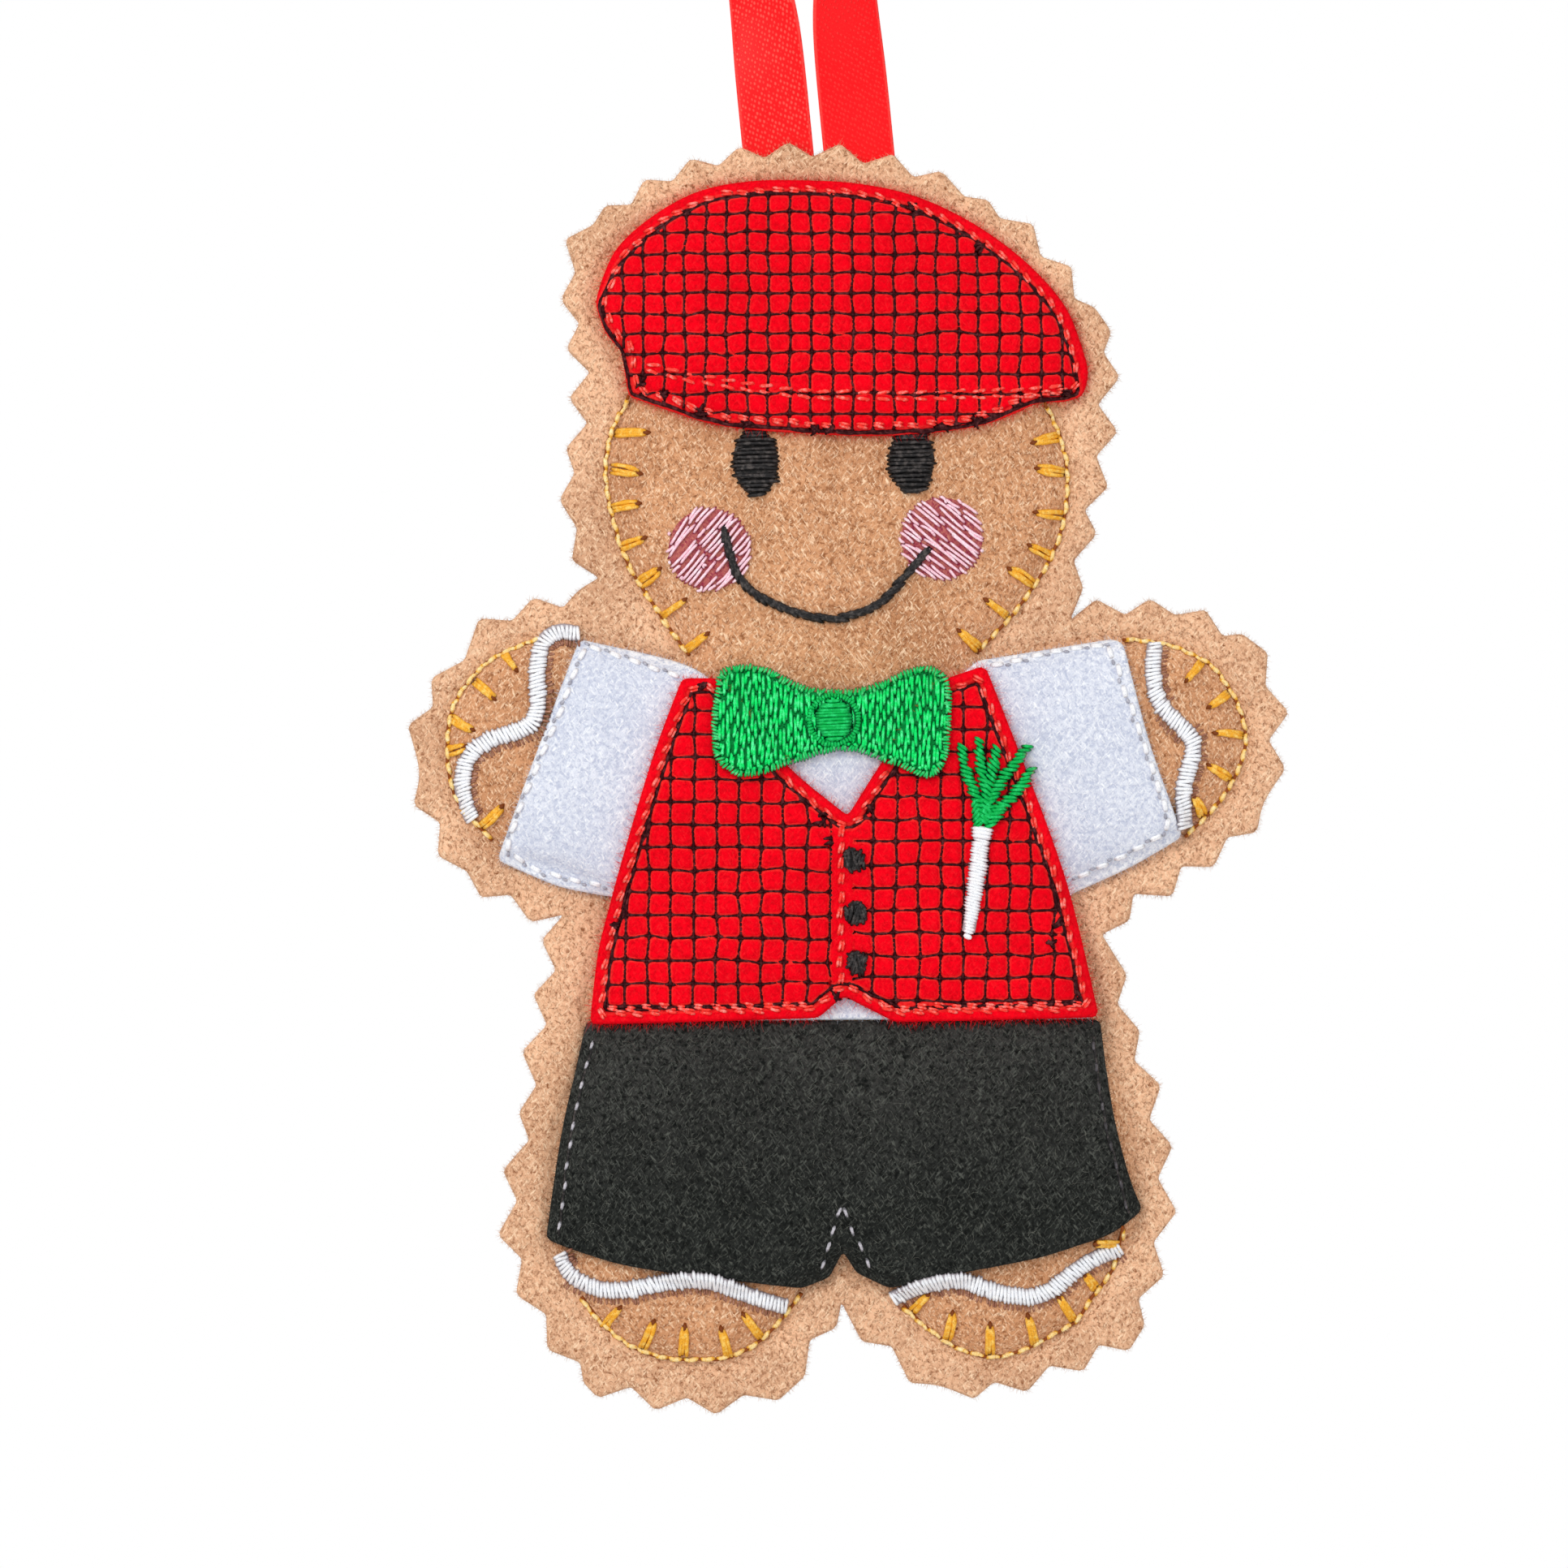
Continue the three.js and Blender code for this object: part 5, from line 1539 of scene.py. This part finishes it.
def add_rows():
    for i, side in enumerate(("left", "right")):
        add_sleeve(side, i)
        add_shorts_side(side, i)
    add_row("shorts_crotch_stitches", "shorts_crotch_stitching",
            resampled(placed(CROTCH_PX), ROW_STEP), front(GARMENT_FACE + CROTCH_LIFT), GLINTING,
            CROTCH_ROW, 150)
    add_row("smile", "smile_stitching", drawn(SMILE_PX, LINE_STEP), front(PANEL_FACE + SMILE_LIFT),
            BLACK, SMILE_ROW, 41)
    add_row("cap_brim_stitches", "cap_brim_stitching", drawn(CAP_BRIM_PX, ROW_STEP), CAP_SURFACE, RED,
            BRIM_ROW, 161)
    add_edging("cap", leaning_inset(CAP_OUTLINE, *CAP_EDGING_INSETS), CAP_SURFACE, 160)
    add_edging("vest", inset(VEST_OUTLINE, VEST_EDGING_INSET), VEST_SURFACE, 162, VEST_ROWS_PX,
               BOW_OUTLINE)
    add_tangles("cap_knots", CAP_TANGLES_PX, front(GARMENT_FACE + TANGLE_LIFT), 220)
    add_tangles("vest_knots", VEST_TANGLES_PX, front(VEST_FACE + TANGLE_LIFT), 221)
    add_boundary("cap_boundary", [leaning_inset(CAP_OUTLINE, *by) for by in CAP_BOUNDARY_INSETS],
                 GARMENT_FACE, 170)
    add_boundary("vest_boundary", [inset(VEST_OUTLINE, by) for by in VEST_BOUNDARY_INSETS], VEST_FACE,
                 180, VEST_MIDDLE_PX)
    add_seam()


# Stitching round the limbs and the face

OUTLINES_PX = {
    "head_outline_left": (
        [[774, 488], [751, 537], [745, 582], [767, 680], [807, 748], [849, 807]],
        [[[753, 533], [800, 533]], [[750, 577], [791, 584]], [[752, 626], [789, 620]],
         [[762, 675], [796, 662]], [[785, 719], [814, 700]], [[813, 761], [845, 738]],
         [[842, 803], [873, 780]]]),
    "head_outline_right": (
        [[1287, 498], [1307, 537], [1316, 609], [1300, 676], [1257, 746], [1206, 802]],
        [[[1308, 537], [1271, 546]], [[1314, 582], [1276, 577]], [[1314, 633], [1274, 631]],
         [[1300, 687], [1267, 671]], [[1276, 722], [1242, 700]], [[1243, 760], [1213, 738]],
         [[1208, 801], [1180, 776]]]),
    "hand_outline_left": (
        [[668, 785], [603, 813], [561, 863], [550, 911], [561, 984], [606, 1036]],
        [[[618, 803], [637, 827]], [[582, 838], [610, 862]], [[553, 883], [584, 900]],
         [[550, 926], [575, 919]], [[590, 1020], [620, 992]]]),
    "hand_outline_right": (
        [[1384, 788], [1409, 789], [1441, 794], [1473, 807], [1498, 824], [1517, 851],
         [1530, 878], [1536, 915], [1525, 952], [1500, 992], [1461, 1031]],
        [[[1483, 814], [1461, 840]], [[1516, 853], [1488, 872]], [[1534, 907], [1495, 903]],
         [[1518, 961], [1488, 942]], [[1483, 1007], [1471, 981]]]),
    "foot_outline_left": (
        [[716, 1599], [733, 1622], [754, 1644], [791, 1667], [830, 1676], [864, 1676],
         [895, 1675], [937, 1653], [974, 1613], [988, 1595]],
        [[[743, 1640], [765, 1610]], [[790, 1666], [806, 1627]], [[841, 1675], [844, 1632]],
         [[898, 1677], [888, 1635]], [[939, 1652], [915, 1618]]]),
    "foot_outline_right": (
        [[1113, 1610], [1152, 1645], [1184, 1664], [1222, 1674], [1263, 1664], [1295, 1648],
         [1327, 1629], [1346, 1600], [1359, 1584], [1375, 1559], [1383, 1511]],
        [[[1124, 1620], [1145, 1594]], [[1167, 1655], [1174, 1616]], [[1220, 1674], [1220, 1630]],
         [[1276, 1661], [1266, 1619]], [[1325, 1631], [1304, 1597]], [[1352, 1590], [1336, 1571]],
         [[1382, 1535], [1348, 1532]]]),
}
ICING_PX = {
    "icing_left_hand": [[712, 781], [690, 778], [672, 787], [663, 812], [662, 841], [663, 872],
                        [658, 888], [646, 898], [620, 906], [597, 915], [580, 929], [571, 950],
                        [569, 971], [574, 991], [581, 1009]],
    "icing_right_hand": [[1424, 793], [1421, 817], [1422, 843], [1430, 868], [1449, 889],
                         [1467, 908], [1470, 928], [1463, 952], [1458, 975], [1459, 1000],
                         [1461, 1019]],
    "icing_left_foot": [[690, 1547], [699, 1567], [719, 1582], [751, 1590], [778, 1588],
                        [803, 1583], [833, 1578], [864, 1577], [888, 1582], [913, 1592],
                        [938, 1601], [968, 1611]],
    "icing_right_foot": [[1101, 1601], [1136, 1585], [1168, 1578], [1187, 1578], [1219, 1589],
                         [1257, 1597], [1277, 1597], [1297, 1588], [1321, 1569], [1346, 1553],
                         [1380, 1540]],
}
EYE_PX = [[914, 534], [931, 531], [948, 535], [957, 549], [961, 567], [959, 583], [955, 597],
          [947, 608], [934, 613], [920, 610], [910, 599], [903, 583], [901, 566], [905, 548]]
EYE_SHIFTS_PX = {"left": [0, 0], "right": [192, -2]}
CHEEKS_PX = {"left": [874, 677], "right": [1160, 664]}
CHEEK_TURNS_DEG = {"left": 50, "right": -38}
CHEEK_RADIUS = 3.58

GOLD_UNDER_RADIUS = 0.62 * GOLD_RADIUS
GOLD_UNDER_LIFT = 0.1
# painted shade: the under-thread shows dark between the stitches
GOLD_UNDER_SHADE_SHARE = 0.7
TICK = Style(GOLD_RADIUS, 0.3, 1.2)
TICK_SPREAD = 0.27
TICK_FAN_SHARE = 0.4
TICK_STRAY = 0.05
TICK_BOW = 0.08
DIVE_REACH = 0.55 * np.array([-0.9, -0.3, 0.25])  # of a tick's end, on its way into the felt
DIVE_HEIGHTS = np.array([0.14, 0.1, -0.1])
DIVE_RADII = GOLD_RADIUS * np.array([0.8, 0.9, 0.5])
# painted shade on a tick's end, where it dives into the felt
DIVE_SHADE_SHARE = 0.8
SHADED_SIDE = np.array([0.8, -0.6])  # the side of the icing where its painted shadow lies
# the short dark stitches that paint the icing's shadow
SHADOW_REACH = (-0.2, 0.55)
SHADOW_LIFT = 0.02
SHADOWING = Style(0.1, 0.2, sink_share=1.5, steps=5)
COLUMN_STRAY_DEG = 60


class Column(NamedTuple):
    """A satin column: threads across a line, over soft cores along it, which are darkened as painted
    shade between the stitches.
    """

    half_widths: tuple
    pitch: float
    slant_deg: float
    stray: float
    lift: float
    style: Style
    cores: tuple  # how far aside of the line they are
    core_lift: float
    # how dark the cores show between the stitches: painted shade
    core_tip_share: float


class Pad(NamedTuple):
    """Felt under threads: how far inside their outline, between which levels, and how it is made."""

    inset: float
    levels: tuple
    spacing: float
    edge: float
    side_rings: int = 4


class Fill(NamedTuple):
    """Parallel threads over a pad. Their strays may differ across and up."""

    pitch: float
    stray: object
    lift: float
    bow: float
    style: Style


ICING = Column((0.68, 0.8, 0.8, 0.8, 0.68), 0.32, 78, 0.07, 0.3, Style(0.165, 0.2, 1.0, 2.6, 3.5),
               (-0.42, 0, 0.42), 0.08, 0.6)
EYE_PAD = Pad(0.15, (-0.1, 0.16), 0.4, 0.12, side_rings=2)
EYE_FILL = Fill(0.35, (0.13, 0.0455), 0.28, 0.07, Style(0.19, PLY_SHARE, 1.0, 2.2, 5, 13))
EYE_WAY = (1, 0.03)
CHEEK_PAD = Pad(0.12, (-0.1, 0.06), 0.5, 0.1, side_rings=2)
CHEEK_FILL = Fill(0.4, 0.09, 0.16, 0.1, Style(0.13, 0.2, 1.0, 1.6, 6, 13))
CHEEK_STITCH = 2.9
CHEEK_CUT_SHARE = 0.3
CHEEK_BARE_SHARE = 0.06


def add_column(threads, line, column, seed):
    """Adds a satin column, and returns the starts and ends of its stitches."""
    random = seeded(seed)
    places = resampled(line, column.pitch)
    turn = column.slant_deg + random.normal(0, COLUMN_STRAY_DEG, len(places)) * column.stray
    across = turned(along_of(places), turn)
    widths = np.interp(np.linspace(0, 1, len(places)), np.linspace(0, 1, len(column.half_widths)),
                       column.half_widths)
    reach = widths[:, None] + random.normal(0, column.stray, (len(places), 2))
    starts, ends = places - across * reach[:, :1], places + across * reach[:, 1:]
    threads.stitch(starts, ends, on_top(column.lift), column.style)
    aside = right_of(along_of(line))
    for offset in column.cores:
        threads.lay(line + aside * offset, on_top(column.core_lift), CORE_RADIUS,
                    column.core_tip_share)
    return starts, ends


def split(starts, ends, length, seed, stray_share=0.12):
    """Long rows cut into stitches, with staggered ends from row to row."""
    random = seeded(seed)
    rows = []
    for i, (start, end) in enumerate(zip(starts, ends)):
        reach = lengths(end - start)
        cuts = np.arange(length * (0.25 + 0.5 * (i % 2)), reach - length * 0.3, length)
        cuts = cuts + random.normal(0, stray_share * length, len(cuts))
        shares = np.concatenate([[0.0], np.sort(cuts), [reach]]) / max(reach, 1e-6)
        rows.append(start + (end - start) * np.clip(shares, 0, 1)[:, None])
    return np.vstack([row[:-1] for row in rows]), np.vstack([row[1:] for row in rows])


def on_panel(rise):
    return front(PANEL_FACE + rise)


def add_pad(name, node, outline, pad, face, finish):
    lower, upper = (face(level) for level in pad.levels)
    made = felt_sheet(name, inset(outline, pad.inset), lower, upper, pad.spacing, finish, pad.edge,
                      pad.side_rings)
    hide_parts(node)


def stitch_fill(threads, starts, ends, face, fill, random):
    """Stitches a fill, with each start, each end and each bow a little at random."""
    starts = starts + random.normal(0, 1, starts.shape) * fill.stray
    ends = ends + random.normal(0, 1, ends.shape) * fill.stray
    bow = random.normal(0, fill.bow, len(starts))
    threads.stitch(starts, ends, face(fill.lift), fill.style, bow)


def add_ticks(name, ticks_px, seed):
    """Marks of three strands that point inwards from an outline."""
    random = seeded(seed)
    marks = Threads()
    face = on_top()
    for start, end in placed(ticks_px):
        along = unit(end - start)
        spread = right_of(along) * TICK_SPREAD
        for share in (-1, 0, 1):
            first = start + spread * share + random.normal(0, TICK_STRAY, 2)
            last = end + spread * share * TICK_FAN_SHARE + random.normal(0, TICK_STRAY, 2)
            marks.stitch([first], [last], face, TICK, random.normal(0, TICK_BOW))
        dive = end + DIVE_REACH[:, None] * along
        place = np.column_stack([dive, face(dive) + DIVE_HEIGHTS])
        marks.add(place[None], DIVE_RADII, DIVE_SHADE_SHARE)
    marks.piece(name + "_ticks", GOLD_TICK)


def add_outline_stitching(name, path_px, seed):
    """A running stitch of two strands over a thread, which is darkened as painted shade between the
    stitches.
    """
    threads = Threads()
    line = drawn(path_px, LINE_STEP)
    threads.lay(line, on_top(GOLD_UNDER_LIFT), GOLD_UNDER_RADIUS, GOLD_UNDER_SHADE_SHARE)
    stitch_row(threads, line, on_top(), OUTLINE_ROW, seed)
    threads.piece(name, GOLD, name)


def add_icing(name, path_px, seed):
    """A satin column, and a painted shadow of short dark stitches on its shaded side."""
    threads = Threads()
    starts, ends = add_column(threads, drawn(path_px, LINE_STEP), ICING, seed)
    threads.piece(name, WHITE, name)
    shaded = ((starts - ends) @ SHADED_SIDE > 0)[:, None]
    low = np.where(shaded, starts, ends)
    out = unit(low - (starts + ends) / 2)
    first, last = (low + out * reach for reach in SHADOW_REACH)
    shadow = Threads()
    shadow.stitch(first, last, on_top(SHADOW_LIFT), SHADOWING)
    shadow.piece(name + "_painted_shadow", ICING_SHADOW)


def add_eye(side, seed):
    name = "eye_" + side
    outline = smooth_line(placed(np.add(EYE_PX, EYE_SHIFTS_PX[side])), closed=True)[::-1]
    add_pad(name + "_pad", name, outline, EYE_PAD, on_panel, BLACK)
    threads = Threads()
    starts, ends = chords(outline, EYE_WAY, EYE_FILL.pitch)
    stitch_fill(threads, starts, ends, on_panel, EYE_FILL, seeded(seed))
    threads.piece(name + "_threads", BLACK)


def add_cheek(side, seed):
    name = "cheek_" + side
    outline = circle(CHEEKS_PX[side], CHEEK_RADIUS)
    # the pad's dark pink is painted shade between the threads
    add_pad(name + "_pad", name, outline, CHEEK_PAD, on_panel, BLUSH_PAINTED_SHADE)
    random = seeded(seed)
    way = heading(math.radians(CHEEK_TURNS_DEG[side]))
    rows = chords(outline, way, CHEEK_FILL.pitch)
    starts, ends = split(*rows, CHEEK_STITCH, seed, CHEEK_CUT_SHARE)
    kept = random.random(len(starts)) > CHEEK_BARE_SHARE
    threads = Threads()
    stitch_fill(threads, starts[kept], ends[kept], on_panel, CHEEK_FILL, random)
    threads.piece(name + "_threads", PINK)


# The bow tie, the leek and the buttons

BOW_PX = [[887, 830], [895, 823], [911, 820], [929, 820], [948, 825], [965, 834], [986, 844],
          [1007, 849], [1028, 850], [1050, 850], [1071, 845], [1092, 838], [1113, 827], [1134, 822],
          [1150, 823], [1163, 831], [1168, 842], [1171, 863], [1171, 884], [1169, 910], [1165, 937],
          [1155, 952], [1144, 958], [1130, 955], [1113, 947], [1092, 940], [1070, 931], [1043, 925],
          [1018, 928], [995, 935], [970, 943], [948, 951], [930, 956], [913, 957], [898, 950],
          [884, 937], [879, 918], [878, 895], [879, 874], [882, 853]]
KNOT_PX = [1027, 887]
LEAVES_PX = [
    [[1211, 1010], [1199, 975], [1187, 945], [1184, 920]],
    [[1211, 1012], [1212, 975], [1207, 945], [1205, 912]],
    [[1212, 1008], [1217, 970], [1222, 945], [1226, 922]],
    [[1214, 1000], [1226, 972], [1243, 948], [1264, 920]],
    [[1211, 1010], [1236, 990], [1256, 968], [1269, 948]],
    [[1218, 1017], [1224, 1005], [1234, 993]],
    [[1205, 1016], [1203, 1002], [1199, 988]],
]
STEM_PX = [[1209, 1020], [1203, 1070], [1198, 1110], [1192, 1147]]
BUTTONS_PX = {"top": [1050, 1059], "middle": [1055, 1124], "bottom": [1055, 1185]}

BOW_OUTLINE = resampled(smooth_line(placed(BOW_PX), closed=True)[::-1], ROW_STEP, closed=True)
BOW_PAD = Pad(0.3, (0.02, 0.54), 0.5, 0.25)
BOW_FILL = Fill(0.3, 0.05, 0.62, 0.07, Style(0.146, PLY_SHARE, 1.0, 1.5, 2.6))
BOW_FILL_INSET = 0.5
BOW_WAY = (0.02, 1)
BOW_STITCH = 1.85
BOW_BORDER = Style(0.13, 0.2, 1.5, 2.6, 2.4)
BOW_BORDER_PITCH = 0.29
BOW_BORDER_SLANT_DEG, BOW_BORDER_SLANT_STRAY_DEG = 12, 14
BOW_BORDER_REACHES = ((0.5, 0.85), (-0.02, 0.14))  # inside and outside its edge
KNOT_RADIUS = 1.72
KNOT_PAD = Pad(0.2, (0.5, 0.9), 0.4, 0.15)
KNOT_FILL = Fill(0.26, 0.04, 1.0, 0.05, Style(0.155, 0.15, sink_share=2.2, steps=13))
KNOT_WAY = (1, 0.04)
KNOT_RING = 2.3
KNOT_RING_STITCHES = 50
KNOT_RING_LIFT = 0.86
KNOT_RING_REACHES = ((0.42, 0.52), (-0.08, 0.12))
KNOT_RINGING = Style(0.14, 0.2, sink_share=1.8, flatness=2.6)
SHADE_GAP = 0.1  # of the dark thread that paints the knot's shadow at its right
SHADE_FROM = 0.6
SHADE_LIFT = 0.88
SHADE_RADIUS = 0.07
SHADE_TIP_SHARE = 0.5
LEEK_STEP = 0.15
LEFT_LEAF = Column((0.66, 0.72, 0.66, 0.5), 0.42, 128, 0.1, 0.35, Style(0.175, 0.2, 1.0, 2.4, 2.4),
                   (0,), 0.05, 1.0)
RIGHT_LEAF = LEFT_LEAF._replace(slant_deg=50)
LEFT_LEAVES = 3
LEAF_LAYER = 0.06
STEM = Column((0.74, 0.78, 0.82, 0.76, 0.64, 0.4), 0.26, 96, 0.045, 0.4,
              Style(0.16, 0.2, 1.0, 3.0, 3), (-0.3, 0, 0.3), 0.15, 0.9)
BAND = Style(0.2, 0.2, sink_share=2.4)
BANDS = 3
BAND_FIRST, BAND_PITCH = 0.1, 0.3
BAND_HALF, BAND_NARROWING = 0.92, 0.05
BAND_LIFT, BAND_LAYER = 0.62, 0.04
STEM_TIP = Style(0.24, steps=7)
STEM_TIP_REACH = 0.4
STEM_TIP_LIFT = 0.35
STEM_TIP_ENDS = ((-0.25, 0.12), (0.22, -0.1))
BUTTON_ACROSS, BUTTON_UP = 0.85, 1.25
BUTTON_THREADS = 13
BUTTON_STEP = 2.4  # the turn in radians from one thread to the next across the button
BUTTON_TURN_DEG = 30
BUTTON_SPREAD_SHARE = 0.8
BUTTON_STRAY = 0.07
BUTTON_BOW = 0.12
BUTTON_LIFT, BUTTON_LAYER, BUTTON_LAYERS = 0.25, 0.04, 6
BUTTONING = Style(0.2, 0.3, sink_share=3.0, flatness=3)
BUTTON_BASE = Style(0.22, steps=7)
BUTTON_BASE_RADIUS = 0.95
BUTTON_BASE_SIDES = 20
BUTTON_BASE_WAY = (1, 0.3)
BUTTON_BASE_PITCH = 0.3
BUTTON_BASE_LIFT = 0.15


def stitch_across(threads, edge, out, reaches, face, style, random):
    """Short stitches over an edge, with random reaches inside and outside it."""
    inner, outer = (random.uniform(*reach, (len(edge), 1)) for reach in reaches)
    threads.stitch(edge - out * inner, edge + out * outer, face, style)


def add_bow():
    """Upright staggered stitches over a dark pad, which paints shade in the gaps between them, with a
    border of short stitches across its edge.
    """
    add_pad("bow_tie_pad", "bow_tie_wings", BOW_OUTLINE, BOW_PAD, on_top, GREEN_GROUND_PAINTED_SHADE)
    random = seeded(51)
    face = on_top(BOW_FILL.lift)
    rows = chords(inset(BOW_OUTLINE, BOW_FILL_INSET), BOW_WAY, BOW_FILL.pitch)
    starts, ends = split(*rows, BOW_STITCH, 51)
    sway = random.normal(0, BOW_FILL.stray, (len(starts), 2))
    bow = random.normal(0, BOW_FILL.bow, len(starts))
    fill = Threads()
    fill.stitch(starts + sway, ends - sway, face, BOW_FILL.style, bow)
    fill.piece("bow_tie_fill", GREEN)
    edge = resampled(BOW_OUTLINE, BOW_BORDER_PITCH, closed=True)
    slant = random.normal(BOW_BORDER_SLANT_DEG, BOW_BORDER_SLANT_STRAY_DEG, len(edge))
    border = Threads()
    stitch_across(border, edge, turned(out_of(edge), slant), BOW_BORDER_REACHES, face, BOW_BORDER,
                  random)
    border.piece("bow_tie_border", GREEN_EDGE)


def add_knot():
    """Level stitches over a pad, in a ring of short ones, with a dark thread at its right that paints
    the knot's shadow.
    """
    centre = placed(KNOT_PX)
    knot = circle(KNOT_PX, KNOT_RADIUS)
    add_pad("knot_pad", "bow_tie_knot", knot, KNOT_PAD, on_top, DEEP_GREEN)
    random = seeded(52)
    threads = Threads()
    starts, ends = chords(knot, KNOT_WAY, KNOT_FILL.pitch)
    stitch_fill(threads, starts, ends, on_top, KNOT_FILL, random)
    ring = circle(KNOT_PX, KNOT_RING, KNOT_RING_STITCHES)
    stitch_across(threads, ring, unit(ring - centre), KNOT_RING_REACHES, on_top(KNOT_RING_LIFT),
                  KNOT_RINGING, random)
    shade = circle(KNOT_PX, KNOT_RADIUS + SHADE_GAP)
    shade = shade[shade[:, 0] > centre[0] + SHADE_FROM]
    threads.lay(shade[np.argsort(shade[:, 1])], on_top(SHADE_LIFT), SHADE_RADIUS, SHADE_TIP_SHARE)
    threads.piece("knot_threads", DEEP_GREEN)


def add_leek_leaves():
    leaves = Threads()
    for i, leaf_px in enumerate(LEAVES_PX):
        leaf = LEFT_LEAF if i < LEFT_LEAVES else RIGHT_LEAF
        leaf = leaf._replace(lift=leaf.lift + LEAF_LAYER * (i % 3))
        add_column(leaves, drawn(leaf_px, LEEK_STEP), leaf, 60 + i)
    leaves.piece("leek_leaves", DEEP_GREEN, "leek_leaves")


def add_leek_stem():
    """A satin column with bands round its top and a stitch over its end."""
    stem = Threads()
    line = drawn(STEM_PX, LEEK_STEP)
    add_column(stem, line, STEM, 70)
    along = along_of(line)
    for k in range(BANDS):
        middle = line[0] + along[0] * (BAND_FIRST + BAND_PITCH * k)
        half = right_of(along[0]) * (BAND_HALF - BAND_NARROWING * k)
        stem.stitch([middle - half], [middle + half], on_top(BAND_LIFT + BAND_LAYER * (k % 2)), BAND)
    end = line[-1] + along[-1] * STEM_TIP_REACH
    first, last = ([end + aside] for aside in STEM_TIP_ENDS)
    stem.stitch(first, last, on_top(STEM_TIP_LIFT), STEM_TIP)
    stem.piece("leek_stem", WHITE, "leek_stem")


def add_button(place, seed):
    """A knot of black threads that cross each other."""
    random = seeded(seed)
    centre = placed(BUTTONS_PX[place])
    threads = Threads()
    for k in range(BUTTON_THREADS):
        aside = BUTTON_ACROSS * math.sin(k * BUTTON_STEP)
        reach = BUTTON_UP * math.sqrt(max(1 - (aside / BUTTON_ACROSS) ** 2, 0.25))
        turn = 90 + random.uniform(-BUTTON_TURN_DEG, BUTTON_TURN_DEG)
        half = heading(math.radians(turn)) * reach * random.uniform(0.9, 1.1)
        middle = centre + (aside * BUTTON_SPREAD_SHARE, 0) + random.normal(0, BUTTON_STRAY, 2)
        face = on_top(BUTTON_LIFT + BUTTON_LAYER * (k % BUTTON_LAYERS))
        bow = random.normal(0, BUTTON_BOW)
        threads.stitch([middle - half], [middle + half], face, BUTTONING, bow)
    base = circle(BUTTONS_PX[place], BUTTON_BASE_RADIUS, BUTTON_BASE_SIDES)
    starts, ends = chords(base, BUTTON_BASE_WAY, BUTTON_BASE_PITCH)
    threads.stitch(starts, ends, on_top(BUTTON_BASE_LIFT), BUTTON_BASE)
    name = "vest_button_" + place
    threads.piece(name, BLACK, name)


def add_stitching():
    for i, (name, (path_px, ticks_px)) in enumerate(OUTLINES_PX.items()):
        add_outline_stitching(name, path_px, 90 + i // 2)
        add_ticks(name, ticks_px, 90 + i // 2)
    for i, (name, path_px) in enumerate(ICING_PX.items()):
        add_icing(name, path_px, 100 + i)
    for i, side in enumerate(("left", "right")):
        add_eye(side, 110 + i)
        add_cheek(side, 120 + i)
    add_rows()
    add_bow()
    add_knot()
    add_leek_leaves()
    add_leek_stem()
    for i, place in enumerate(BUTTONS_PX):
        add_button(place, 190 + i)


add_stitching()
